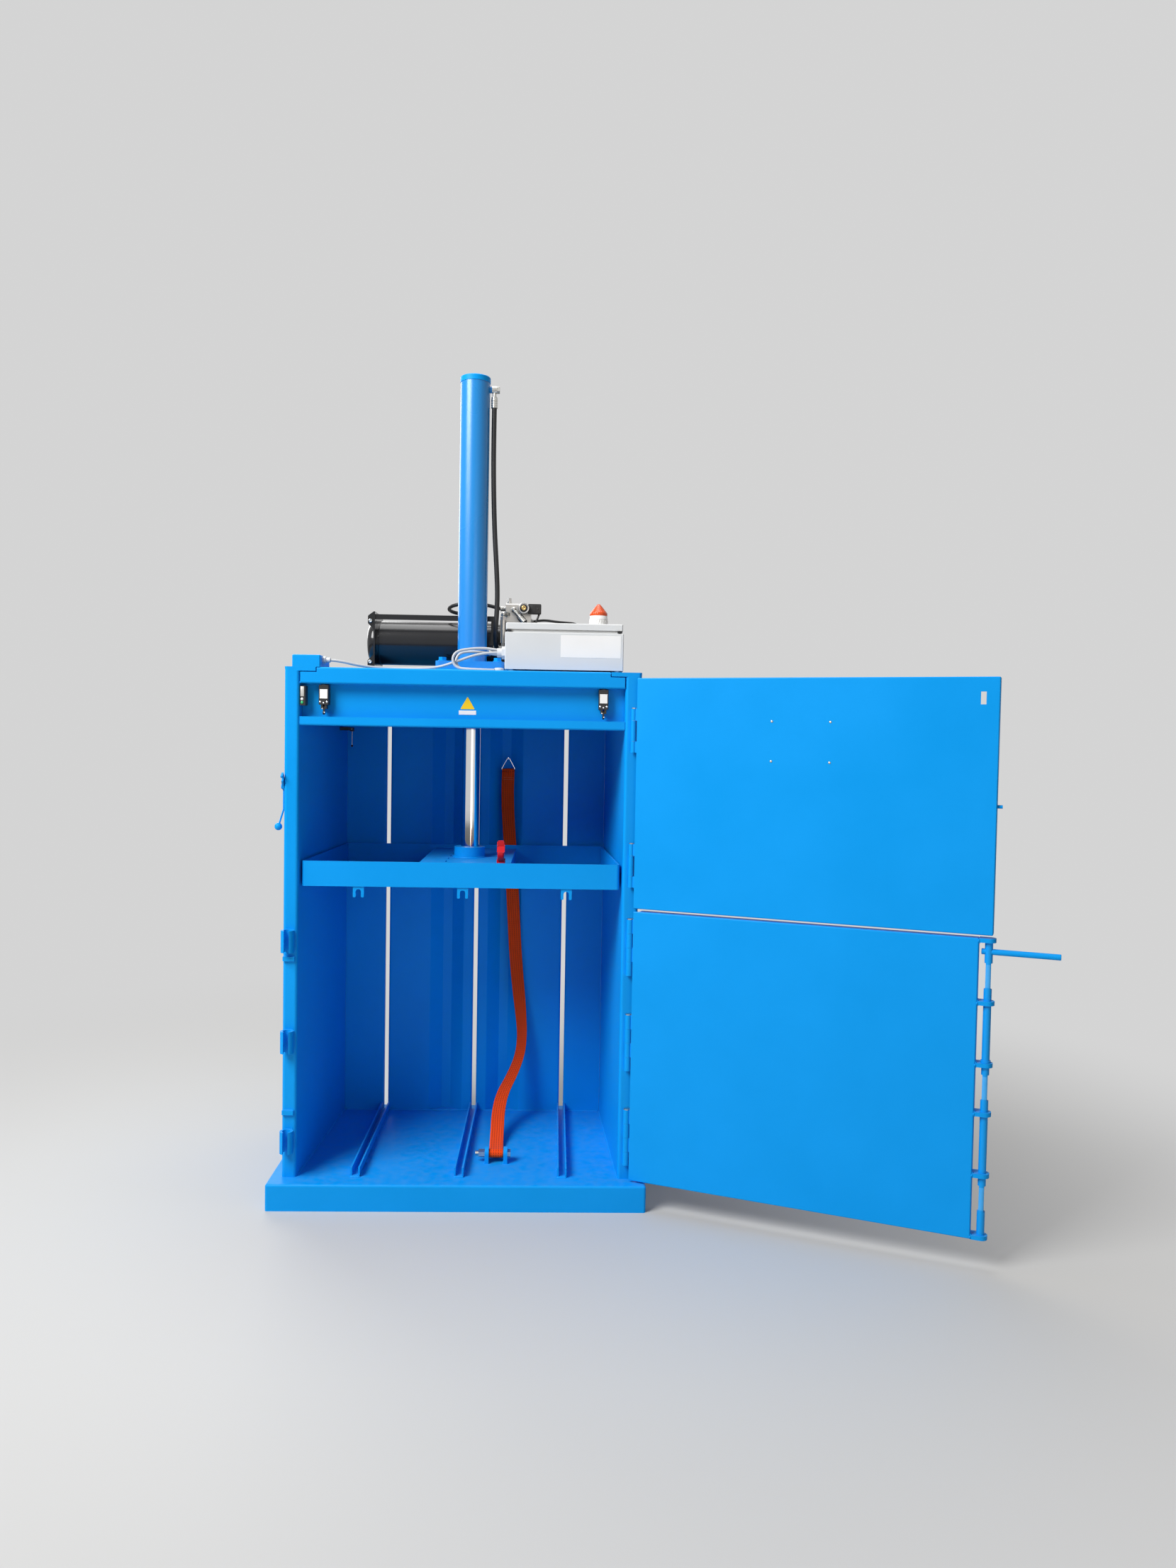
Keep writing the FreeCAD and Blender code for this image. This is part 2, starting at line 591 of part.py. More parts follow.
def roof_channels():
    """Two channels under the roof, in front of and behind the cylinder."""
    low = ROOF_UNDER - ROOF_CHANNEL_HEIGHT
    bars = []
    for y in (CYLINDER_Y - ROOF_CHANNEL_PITCH / 2, CYLINDER_Y + ROOF_CHANNEL_PITCH / 2):
        start, end = y - ROOF_CHANNEL_WIDTH / 2, y + ROOF_CHANNEL_WIDTH / 2
        path = [V(-OUTER_HALF, start, low), V(-OUTER_HALF, start, ROOF_UNDER),
                V(-OUTER_HALF, end, ROOF_UNDER), V(-OUTER_HALF, end, low)]
        channel = folded(path, WALL_SHEET, WALL_BEND, -X_DIR).extrude(V(2 * OUTER_HALF, 0, 0))
        bars.append(channel.common(chamber_prism(0, low, ROOF_UNDER)))
    return Part.makeCompound([bar_.Solids[0] for bar_ in bars])


def front_beam():
    """Folded beam over the opening: top flange, bright face, set-back web, bottom flange and lip."""
    web = FRONT + BEAM_WEB_SETBACK
    lip = FRONT + LIP_SETBACK + BEAM_SHEET
    face_foot = BODY_TOP - BEAM_FACE
    foot = BEAM_BOTTOM + BEAM_SHEET
    path = [V(0, FRONT + BEAM_TOP_DEPTH, BODY_TOP), V(0, FRONT, BODY_TOP), V(0, FRONT, face_foot),
            V(0, web, face_foot), V(0, web, foot), V(0, lip, foot), V(0, lip, BEAM_BOTTOM + LIP_HEIGHT)]
    for point in path:
        point.x = -OUTER_HALF
    sheet = folded(path, BEAM_SHEET, 2.0, X_DIR).extrude(V(2 * OUTER_HALF, 0, 0))
    sheet = sheet.common(chamber_prism(FACE_GAP, BEAM_BOTTOM - 1, BODY_TOP + 1))
    corner = BODY_TOP - EAR_HEIGHT - BEAM_GAP
    for side in (-1, 1):
        ends = sorted((side * BEAM_HALF_TOP, side * OUTER_HALF))
        sheet = sheet.cut(block(ends[0], ends[1], FRONT - 1, FRONT + BEAM_TOP_DEPTH + 1,
                                corner, BODY_TOP + 1))
        inner = LEFT_INNER if side < 0 else RIGHT_INNER
        ends = sorted((side * (inner - BEAM_GAP), side * OUTER_HALF))
        sheet = sheet.cut(block(ends[0], ends[1], FRONT - 1, FRONT + BEAM_SHEET, face_foot - 1, BODY_TOP + 1))
    return sheet


def floor_channels():
    """Three open channels that guide the tying wire under the bale."""
    start = FRONT + LANE_CHANNEL_START
    rails = []
    for x in LANES:
        left, right = x - LANE_CHANNEL_WIDTH / 2, x + LANE_CHANNEL_WIDTH / 2
        top = BASE_HEIGHT + LANE_CHANNEL_HEIGHT
        path = [V(left, start, top), V(left, start, BASE_HEIGHT),
                V(right, start, BASE_HEIGHT), V(right, start, top)]
        rails.append(folded(path, LANE_CHANNEL_SHEET, 2.0, -Y_DIR).extrude(V(0, BACK - start, 0)))
    return rails


def lock_hook(level):
    """Slotted tube on the left post: the lock bar's flats pass the slot, and the turned bar can't."""
    centre = V(HOOK_X, FRONT - HOOK_OUT, level - HOOK_HEIGHT / 2)
    hook = pipe(HOOK_RADIUS, HOOK_BORE, centre, Z_DIR, HOOK_HEIGHT)
    slot = block(HOOK_X - HOOK_SLOT / 2, HOOK_X + HOOK_SLOT / 2, centre.y - 2 * HOOK_RADIUS, centre.y,
                 centre.z - 1, centre.z + HOOK_HEIGHT + 1)
    foot = block(HOOK_X - HOOK_BORE, HOOK_X + HOOK_BORE, centre.y + HOOK_BORE + 2, FRONT,
                 centre.z, centre.z + HOOK_HEIGHT)
    return join(hook.cut(slot), foot)


def door_stops():
    """Flat bars on the left post, just above two of the lock lugs, that keep the door down."""
    bars = []
    for level in STOP_LEVELS:
        stop = block(HOOK_X - STOP_WIDTH / 2, HOOK_X + STOP_WIDTH / 2, FRONT - STOP_DEPTH, FRONT,
                     level, level + STOP_HEIGHT)
        bars.append(round_edges(stop, 3.0, lambda e: runs_along(e, Z_DIR) and e.CenterOfMass.y < FRONT - 1))
    return Part.makeCompound(bars)


# ---------------------------------------------------------------- hinges and doors


def knuckle_spans(bottoms, heights):
    """Height ranges of all knuckles, bottom one first, for hinges at the given levels."""
    hinges = []
    for bottom in bottoms:
        spans = []
        level = bottom
        for height in heights:
            spans.append((level + FACE_GAP / 2, level + height - FACE_GAP / 2))
            level += height
        hinges.append(spans)
    return hinges


def frame_knuckles(bottoms, heights, radius, picks):
    """Fixed knuckles, welded to the right post."""
    pieces = []
    for spans in knuckle_spans(bottoms, heights):
        for low, high in [spans[k] for k in picks]:
            body = bar(radius, V(HINGE_X, HINGE_Y, low), Z_DIR, high - low)
            seat = block(HINGE_X - radius + 1, HINGE_X + radius - 1, HINGE_Y, FRONT, low, high)
            bore = bar(PIN_RADIUS + RUNNING, V(HINGE_X, HINGE_Y, low - 1), Z_DIR, high - low + 2)
            pieces.append(join(body, seat).cut(bore))
    return Part.makeCompound(pieces)


def door_knuckles(bottoms, heights, radius, picks):
    """Moving knuckles with the leaves that carry the panel, in the door's own frame."""
    pieces = []
    for spans in knuckle_spans(bottoms, heights):
        for low, high in [spans[k] for k in picks]:
            body = bar(radius, V(0, 0, low), Z_DIR, high - low)
            outer = DOOR_SHEET - DOOR_FACE + LEAF_SHEET
            leaf = block(0, LEAF_REACH, DOOR_SHEET - DOOR_FACE, outer, low, high)
            bore = bar(PIN_RADIUS + RUNNING, V(0, 0, low - 1), Z_DIR, high - low + 2)
            pieces.append(on_door(join(body, leaf).cut(bore)))
    return Part.makeCompound(pieces)


def hinge_pins(bottoms, heights, radius):
    """One pin through each hinge, with a low head on the top knuckle."""
    pins = []
    for spans in knuckle_spans(bottoms, heights):
        low, high = spans[0][0], spans[-1][1]
        shank = bar(PIN_RADIUS, V(HINGE_X, HINGE_Y, low), Z_DIR, high - low + LIFT_GAP)
        head = bar(radius - 1, V(HINGE_X, HINGE_Y, high + LIFT_GAP), Z_DIR, 2.5)
        pins.append(join(shank, head))
    return Part.makeCompound(pins)


def door_pan(reach, low, high):
    """Door sheet with three folded edges; the hinge edge is plain."""
    outer = block(DOOR_START, reach, -DOOR_FACE, DOOR_RETURN - DOOR_FACE, low, high)
    outer = round_edges(outer, DOOR_BEND,
                        lambda e: (e.CenterOfMass.y < 1 - DOOR_FACE and e.CenterOfMass.x > DOOR_START + 1)
                        or (runs_along(e, Y_DIR) and e.CenterOfMass.x > reach - 1))
    inner = block(DOOR_START - 1, reach - DOOR_SHEET, DOOR_SHEET - DOOR_FACE, DOOR_RETURN,
                  low + DOOR_SHEET, high - DOOR_SHEET)
    beside_post = block(DOOR_START - 1, HINGE_RIB_START - 2, DOOR_SHEET - DOOR_FACE, DOOR_RETURN,
                        low - 1, high + 1)
    return outer.cut(inner).cut(beside_post)


def upper_door_panel():
    """Loading door, with the slot that the interlock reads and the holes of its screws."""
    pan = door_pan(UPPER_REACH, UPPER_BOTTOM, UPPER_TOP)
    middle = UPPER_REACH - SLOT_IN
    slot = block(middle - DOOR_SLOT_WIDTH / 2, middle + DOOR_SLOT_WIDTH / 2, -DOOR_FACE - 1, DOOR_RETURN,
                 DOOR_SLOT_LEVEL - DOOR_SLOT_HEIGHT / 2, DOOR_SLOT_LEVEL + DOOR_SLOT_HEIGHT / 2)
    pan = pan.cut(slot)
    for x, z in rivet_places():
        pan = pan.cut(bar(RIVET_RADIUS, V(x, -DOOR_FACE - 1, z), Y_DIR, DOOR_SHEET + 2))
    return on_door(pan)


def rivet_places():
    """Corners of the rectangle in which four rivets sit on the upper door."""
    return [(RIVET_REACH + sx * RIVET_SPACING_X / 2, RIVET_LEVEL + sz * RIVET_SPACING_Z / 2)
            for sx in (-1, 1) for sz in (-1, 1)]


def door_rivets():
    """Rivets whose tips show inside the upper door."""
    rivets = []
    for x, z in rivet_places():
        shank = bar(RIVET_RADIUS, V(x, -DOOR_FACE, z), Y_DIR, DOOR_SHEET)
        tip = Part.makeSphere(RIVET_RADIUS, V(x, -DOOR_FACE, z), Y_DIR)
        tip = tip.common(bar(RIVET_RADIUS, V(x, -DOOR_FACE, z), -Y_DIR, 1.5))
        head = bar(2 * RIVET_RADIUS, V(x, DOOR_SHEET - DOOR_FACE, z), Y_DIR, 2.5)
        rivets.append(on_door(join(shank, tip, head)))
    return Part.makeCompound(rivets)


def door_ribs(low, high, reach, levels):
    """Hat channels across the outside of a door, and the upright that carries the hinge leaves."""
    face = DOOR_SHEET - DOOR_FACE
    crown = DOOR_RETURN - DOOR_FACE
    inner_low, inner_high = low + DOOR_SHEET, high - DOOR_SHEET
    cross_start = HINGE_RIB_START + DOOR_RIB_WIDTH
    pieces = []
    for level in levels:
        low, high = level - DOOR_RIB_WIDTH / 2, level + DOOR_RIB_WIDTH / 2
        path = [V(cross_start, face, low), V(cross_start, crown, low),
                V(cross_start, crown, high), V(cross_start, face, high)]
        length = reach - DOOR_SHEET - cross_start
        pieces.append(folded(path, DOOR_RIB_SHEET, DOOR_RIB_SHEET, -X_DIR).extrude(V(length, 0, 0)))
    start = HINGE_RIB_START
    path = [V(LEAF_REACH + 4, face, inner_low), V(LEAF_REACH + 4, crown, inner_low),
            V(start + DOOR_RIB_WIDTH, crown, inner_low), V(start + DOOR_RIB_WIDTH, face, inner_low)]
    upright = folded(path, DOOR_RIB_SHEET, DOOR_RIB_SHEET, -Z_DIR).extrude(V(0, 0, inner_high - inner_low))
    pieces.append(upright)
    return Part.makeCompound([on_door(piece) for piece in pieces])


def door_handle():
    """Grab handle of bent round bar outside the upper door."""
    face = DOOR_RETURN - DOOR_FACE
    foot = HANDLE_LEVEL - HANDLE_LENGTH / 2
    head = HANDLE_LEVEL + HANDLE_LENGTH / 2
    x = UPPER_REACH - 30
    base = DOOR_SHEET - DOOR_FACE
    out = face + HANDLE_STAND
    points = [V(x, base, foot), V(x, out, foot), V(x, out, head), V(x, base, head)]
    spine = Part.Wire(rounded_path(points, [3 * HANDLE_RADIUS, 3 * HANDLE_RADIUS]))
    circle = Part.Wire(Part.makeCircle(HANDLE_RADIUS, points[0], Y_DIR))
    return on_door(spine.makePipeShell([circle], True, False))


def door_striker():
    """Short pin on the upper door's free edge that the side latch holds."""
    return on_door(bar(STRIKER_RADIUS, V(UPPER_REACH, BAR_OUT - 3, STRIKER_LEVEL), X_DIR, STRIKER_LENGTH))


def lock_lugs():
    """Six flat bars with rounded ends and a bore, welded to the lower door's free edge."""
    lugs = []
    for foot in LUG_FEET:
        end = bar(LUG_RADIUS, V(BAR_REACH, BAR_OUT, foot), Z_DIR, LUG_THICKNESS)
        arm = block(LOWER_REACH, BAR_REACH, BAR_OUT - LUG_RADIUS, BAR_OUT + LUG_RADIUS,
                    foot, foot + LUG_THICKNESS)
        bore = bar(BAR_RADIUS + RUNNING, V(BAR_REACH, BAR_OUT, foot - 1), Z_DIR, LUG_THICKNESS + 2)
        lugs.append(on_door(join(end, arm).cut(bore)))
    return Part.makeCompound(lugs)


def lock_bar():
    """Upright round bar with flats milled where the hooks hold it, and a collar on the top lug."""
    foot = LUG_FEET[0] - LIFT_GAP
    top = LUG_FEET[-1] + LUG_THICKNESS
    shaft = bar(BAR_RADIUS, V(BAR_REACH, BAR_OUT, foot), Z_DIR, top - foot)
    long = HOOK_HEIGHT + 2 * FLAT_EXTRA
    for level in HOOK_LEVELS:
        for side in (-1, 1):
            near = BAR_REACH + side * FLAT_THICKNESS / 2
            far = BAR_REACH + side * 2 * BAR_RADIUS
            shaft = shaft.cut(block(min(near, far), max(near, far),
                                    BAR_OUT - BAR_RADIUS, BAR_OUT + BAR_RADIUS,
                                    level - long / 2, level + long / 2))
    collar_foot = LUG_FEET[3] + LUG_THICKNESS + LIFT_GAP
    collar = bar(BAR_RADIUS + 3, V(BAR_REACH, BAR_OUT, collar_foot), Z_DIR, 6)
    hole = bar(LOCK_HANDLE_RADIUS, V(BAR_REACH - 2 * BAR_RADIUS, BAR_OUT, LOCK_HANDLE_LEVEL), X_DIR,
               4 * BAR_RADIUS)
    return on_door(join(shaft, collar).cut(hole))


def lock_handle():
    """Cross handle through the lock bar, just below the top lug."""
    start = V(BAR_REACH - LOCK_HANDLE_STUB, BAR_OUT, LOCK_HANDLE_LEVEL)
    rod = bar(LOCK_HANDLE_RADIUS, start, X_DIR, LOCK_HANDLE_STUB + LOCK_HANDLE_REACH)
    return on_door(round_edges(rod, 2.0, lambda e: isinstance(e.Curve, Part.Circle)))


# ---------------------------------------------------------------- cylinder and ram


def cylinder_point(z):
    """A point on the cylinder's axis."""
    return V(CYLINDER_X, CYLINDER_Y, z)


def cylinder_tube():
    """Honed tube with the bosses of its two oil ports."""
    foot = ROOF_UNDER - TUBE_BELOW_ROOF
    tube = bar(TUBE_RADIUS, cylinder_point(foot), Z_DIR, TUBE_TOP - foot)
    upper = bar(11.0, cylinder_point(PORT_LEVEL) + X_DIR * TUBE_BORE, X_DIR, TUBE_RADIUS - TUBE_BORE + 7)
    low_direction = port_direction()
    lower = bar(11.0, cylinder_point(LOW_PORT_LEVEL) + low_direction * TUBE_BORE, low_direction,
                TUBE_RADIUS - TUBE_BORE + 7)
    tube = join(tube, upper, lower)
    tube = tube.cut(bar(TUBE_BORE, cylinder_point(foot - 1), Z_DIR, TUBE_TOP - foot + 2))
    tube = tube.cut(bar(5.0, cylinder_point(PORT_LEVEL), X_DIR, TUBE_RADIUS + 8))
    return tube.cut(bar(5.0, cylinder_point(LOW_PORT_LEVEL), low_direction, TUBE_RADIUS + 8))


def port_direction():
    """Direction in which the lower port looks."""
    turn = math.radians(LOW_PORT_TURN)
    return V(math.cos(turn), math.sin(turn), 0)


def cylinder_cap():
    """Closing cap with a spigot in the tube."""
    cap = bar(CAP_RADIUS, cylinder_point(TUBE_TOP), Z_DIR, CAP_HEIGHT)
    cap = round_edges(cap, 4.0, lambda e: isinstance(e.Curve, Part.Circle)
                      and e.CenterOfMass.z > TUBE_TOP + 1)
    spigot = bar(TUBE_BORE - RUNNING, cylinder_point(TUBE_TOP - 10), Z_DIR, 10)
    return join(cap, spigot)


def square_plate(width, foot, height, corner, bore):
    """Square plate round the cylinder with rounded corners, a bore and four bolt holes."""
    half = width / 2
    body = block(CYLINDER_X - half, CYLINDER_X + half, CYLINDER_Y - half, CYLINDER_Y + half,
                 foot, foot + height)
    body = round_edges(body, corner, lambda e: runs_along(e, Z_DIR))
    body = body.cut(bar(bore, cylinder_point(foot - 1), Z_DIR, height + 2))
    for x, y in flange_bolt_places():
        body = body.cut(bar(FLANGE_BOLT_RADIUS + 0.5, V(x, y, foot - 1), Z_DIR, height + 2))
    return body


def flange_bolt_places():
    """Four bolts round the cylinder."""
    half = FLANGE_BOLT_PITCH / 2
    return [(CYLINDER_X + sx * half, CYLINDER_Y + sy * half) for sx in (-1, 1) for sy in (-1, 1)]


def cylinder_seat():
    """Thick plate welded to the roof under the cylinder's flange."""
    return square_plate(FLANGE_WIDTH, BODY_TOP, SEAT_HEIGHT, FLANGE_CORNER, TUBE_RADIUS + 2)


def cylinder_flange():
    """Flange welded round the tube."""
    return square_plate(FLANGE_WIDTH, BODY_TOP + SEAT_HEIGHT, FLANGE_HEIGHT, FLANGE_CORNER, TUBE_RADIUS)


def flange_bolts():
    """Hexagon bolts through flange and seat, down into the roof."""
    bolts = []
    top = BODY_TOP + SEAT_HEIGHT + FLANGE_HEIGHT
    for x, y in flange_bolt_places():
        shank = bar(FLANGE_BOLT_RADIUS, V(x, y, BODY_TOP), Z_DIR, top - BODY_TOP)
        washer = bar(FLANGE_BOLT_RADIUS * 1.9, V(x, y, top), Z_DIR, 3)
        head = hexagon(FLANGE_BOLT_RADIUS * 1.5, V(x, y, top + 3), Z_DIR, 10)
        bolts.append(join(shank, washer, head))
    return Part.makeCompound(bolts)


def rod_gland():
    """Head bush that guides the rod, with a lip under the tube's end."""
    foot = ROOF_UNDER - TUBE_BELOW_ROOF
    lip = bar(TUBE_RADIUS - 2, cylinder_point(foot - GLAND_LIP), Z_DIR, GLAND_LIP)
    bush = bar(TUBE_BORE - RUNNING, cylinder_point(foot), Z_DIR, GLAND_LENGTH)
    bore = bar(ROD_RADIUS + RUNNING, cylinder_point(foot - GLAND_LIP - 1), Z_DIR,
               GLAND_LENGTH + GLAND_LIP + 2)
    return join(lip, bush).cut(bore)


def piston():
    """Piston with two seal grooves, bored for the rod's end."""
    foot = PISTON_LEVEL - PISTON_LENGTH
    body = bar(TUBE_BORE - RUNNING, cylinder_point(foot), Z_DIR, PISTON_LENGTH)
    for level in (foot + 12, foot + PISTON_LENGTH - 20):
        body = body.cut(pipe(TUBE_BORE, TUBE_BORE - 5, cylinder_point(level), Z_DIR, 8))
    return body.cut(bar(ROD_RADIUS, cylinder_point(foot - 1), Z_DIR, PISTON_LENGTH + 2))


def piston_rod():
    """Chromed rod from the piston to the platen's boss."""
    rod = bar(ROD_RADIUS, cylinder_point(BEAM_TOP), Z_DIR, PISTON_LEVEL - BEAM_TOP)
    return rod.makeChamfer(2.0, [e for e in rod.Edges
                                 if isinstance(e.Curve, Part.Circle) and e.CenterOfMass.z > PISTON_LEVEL - 1])


def platen_outline(inset, z):
    """Plan of the platen, drawn in by an inset on all sides."""
    y0 = FRONT + PLATEN_FRONT
    y1 = y0 + PLATEN_DEPTH
    gap = PLATEN_SIDE_GAP + inset
    return [V(skin(-1, y0) + gap, y0 + inset, z), V(skin(1, y0) - gap, y0 + inset, z),
            V(skin(1, y1) - gap, y1 - inset, z), V(skin(-1, y1) + gap, y1 - inset, z)]


def platen_body():
    """Press platen: a tray of plate with a raised rim, a closed box across its middle and the boss."""
    outer = plate(platen_outline(0, PLATEN_BOTTOM), V(0, 0, PLATEN_HEIGHT))
    outer = round_edges(outer, PLATEN_CORNER, lambda e: runs_along(e, Z_DIR))
    floor = PLATEN_BOTTOM + PLATEN_SHEET
    room = plate(platen_outline(PLATEN_SHEET, floor), V(0, 0, PLATEN_HEIGHT))
    tray = outer.cut(room)
    y0 = FRONT + PLATEN_FRONT + PLATEN_SHEET
    y1 = y0 + PLATEN_DEPTH - 2 * PLATEN_SHEET
    centre = block(CYLINDER_X - BEAM_HALF, CYLINDER_X + BEAM_HALF, y0, y1, floor, BEAM_TOP)
    hollow = block(CYLINDER_X - BEAM_HALF + PLATEN_SHEET, CYLINDER_X + BEAM_HALF - PLATEN_SHEET,
                   y0, y1, floor, BEAM_TOP - PLATEN_SHEET)
    centre = centre.cut(hollow)
    step = PLATEN_DEPTH / (STITCH_COUNT + 1)
    for k in range(STITCH_COUNT):
        middle = y0 + (k + 0.8) * step
        centre = centre.cut(block(STITCH_X - 2.5, STITCH_X + 2.5, middle - 22, middle + 22,
                                  BEAM_TOP - PLATEN_SHEET - 1, BEAM_TOP + 1))
    core = bar(BOSS_RADIUS, cylinder_point(floor), Z_DIR, BEAM_TOP - floor)
    boss = pipe(BOSS_RADIUS, ROD_RADIUS, cylinder_point(BEAM_TOP), Z_DIR, BOSS_HEIGHT)
    return join(tray, centre, core, boss)


def platen_forks():
    """Small forks under the platen's front that guide the wire into the lanes."""
    forks = []
    y0 = FRONT + PLATEN_FRONT + 4
    for x in LANES:
        fork = block(x - FORK_WIDTH / 2, x + FORK_WIDTH / 2, y0, y0 + FORK_DEPTH,
                     PLATEN_BOTTOM - FORK_HEIGHT, PLATEN_BOTTOM)
        opening = FORK_WIDTH - 2 * FORK_SHEET
        crown = PLATEN_BOTTOM - FORK_SHEET - opening / 2
        fork = fork.cut(block(x - opening / 2, x + opening / 2, y0 - 1, y0 + FORK_DEPTH + 1,
                              PLATEN_BOTTOM - FORK_HEIGHT - 1, crown))
        fork = fork.cut(bar(opening / 2, V(x, y0 - 1, crown), Y_DIR, FORK_DEPTH + 2))
        forks.append(round_edges(fork, 3.0, lambda e: runs_along(e, Y_DIR)
                                 and e.CenterOfMass.z < PLATEN_BOTTOM - FORK_HEIGHT + 1))
    return Part.makeCompound(forks)


def hook_centre():
    """Centre of the ejection hook's bowl."""
    return V(HOOK_PLACE_X, FRONT + HOOK_PLACE_BACK, BEAM_TOP + HOOK_RISE)


def ejection_hook():
    """Forged hook on the platen: foot, neck and a bowl that opens to the front."""
    c = hook_centre()
    outer = HOOK_BOWL + 2 * HOOK_SECTION
    start = V(c.x - HOOK_HALF, c.y, c.z)
    ring = pipe(outer, HOOK_BOWL, start, X_DIR, 2 * HOOK_HALF)
    mouth = plate([V(start.x - 1, c.y, c.z - 2), V(start.x - 1, c.y - 2 * outer, c.z - 2),
                   V(start.x - 1, c.y - 2 * outer, c.z + outer), V(start.x - 1, c.y - 8, c.z + outer)],
                  V(2 * HOOK_HALF + 2, 0, 0))
    body = ring.cut(mouth)
    body = round_edges(body, 4.0, lambda e: isinstance(e.Curve, Part.Circle)
                       and abs(e.Curve.Radius - outer) < 0.1)
    foot = block(c.x - HOOK_HALF - 3, c.x + HOOK_HALF + 3, c.y - 14, c.y + 34, BEAM_TOP, c.z - outer + 8)
    bore = bar(LATCH_PIN + RUNNING, latch_pivot() - X_DIR * 20, X_DIR, 40)
    return join(body, foot).cut(bore)


def latch_pivot():
    """Axis of the ejection hook's latch, in the upper end of its bowl."""
    return hook_centre() + V(0, 2, HOOK_BOWL + HOOK_SECTION)


def hook_latch():
    """Sprung tongue between two cheeks that closes the ejection hook's mouth from inside."""
    c = hook_centre()
    pivot = latch_pivot()
    tip = c + V(0, 2.3 - HOOK_BOWL, -2.8)
    run = tip - pivot
    wide = HOOK_HALF + FACE_GAP + 2
    tongue = block(c.x - wide, c.x + wide, 12, run.Length, -1.25, 1.25)
    cheeks = []
    for side in (-1, 1):
        x0, x1 = sorted((c.x + side * wide, c.x + side * (wide - 2)))
        cheeks.append(block(x0, x1, 0, 14, -4, 4))
        cheeks.append(bar(4.0, V(x0, 0, 0), X_DIR, 2))
    pin = bar(LATCH_PIN, V(c.x - wide, 0, 0), X_DIR, 2 * wide)
    latch = join(tongue, pin, *cheeks)
    latch.rotate(V(0, 0, 0), X_DIR, math.degrees(math.atan2(run.z, run.y)))
    latch.translate(V(0, pivot.y, pivot.z))
    return latch


# ---------------------------------------------------------------- ejection strap


def strap_bolt_point(x):
    """A point on the axis of the strap's bolt."""
    return V(x, FRONT + STRAP_BOLT_BACK, BASE_HEIGHT + STRAP_BOLT_LIFT)


def strap_lugs():
    """Two lugs on the bale floor with rounded tops, bored for the strap's bolt."""
    lugs = []
    radius = STRAP_LUG_DEPTH / 2
    for side in (-1, 1):
        near = STRAP_BOLT_X + side * STRAP_LUG_INNER
        start = min(near, near + side * STRAP_LUG_SHEET)
        axis = strap_bolt_point(start)
        lug = join(block(start, start + STRAP_LUG_SHEET, axis.y - radius, axis.y + radius,
                         BASE_HEIGHT, axis.z),
                   bar(radius, axis, X_DIR, STRAP_LUG_SHEET))
        lugs.append(lug.cut(bar(STRAP_BOLT_RADIUS + RUNNING, axis - X_DIR, X_DIR, STRAP_LUG_SHEET + 2)))
    return Part.makeCompound(lugs)


def strap_bolt():
    """Bolt through the lugs, its head on the right."""
    left = STRAP_BOLT_X - STRAP_LUG_INNER - STRAP_LUG_SHEET - 32
    right = STRAP_BOLT_X + STRAP_LUG_INNER + STRAP_LUG_SHEET
    shank = bar(STRAP_BOLT_RADIUS, strap_bolt_point(left), X_DIR, right - left)
    head = hexagon(1.5 * STRAP_BOLT_RADIUS, strap_bolt_point(right), X_DIR, 10)
    return join(shank, head)


def strap_nut():
    """Nut on the bolt's left end."""
    right = STRAP_BOLT_X - STRAP_LUG_INNER - STRAP_LUG_SHEET
    nut = hexagon(1.5 * STRAP_BOLT_RADIUS, strap_bolt_point(right - 21), X_DIR, 21)
    return nut.cut(bar(STRAP_BOLT_RADIUS + RUNNING, strap_bolt_point(right - 22), X_DIR, 23))


def strap_sleeve():
    """Spacer on the bolt that the strap's loop turns on."""
    half = STRAP_LUG_INNER - FACE_GAP
    return pipe(STRAP_LOOP - LIFT_GAP, STRAP_BOLT_RADIUS + RUNNING, strap_bolt_point(STRAP_BOLT_X - half),
                X_DIR, 2 * half)


# The strap's middle line, chosen by hand: x, distance behind the posts' faces, height above the
# bale floor, and how far the webbing is twisted about its own length.


def strap_sections():
    """Cross-sections of the webbing along its route, as closed four-sided wires."""
    points = [V(x, FRONT + back, BASE_HEIGHT + rise) for x, back, rise, _ in STRAP_ROUTE]
    wires = []
    for k, (_, _, _, twist) in enumerate(STRAP_ROUTE):
        ahead = points[min(k + 1, len(points) - 1)] - points[max(k - 1, 0)]
        across = V(1, 0, 0)
        out = across.cross(ahead).normalize()
        across = ahead.cross(out).normalize()
        turn = FreeCAD.Rotation(ahead, twist)
        across = turn.multVec(across) * (STRAP_WIDTH / 2)
        out = turn.multVec(out) * (STRAP_THICKNESS / 2)
        corners = [points[k] + across + out, points[k] - across + out,
                   points[k] - across - out, points[k] + across - out]
        wires.append(Part.makePolygon(corners + [corners[0]]))
    return wires


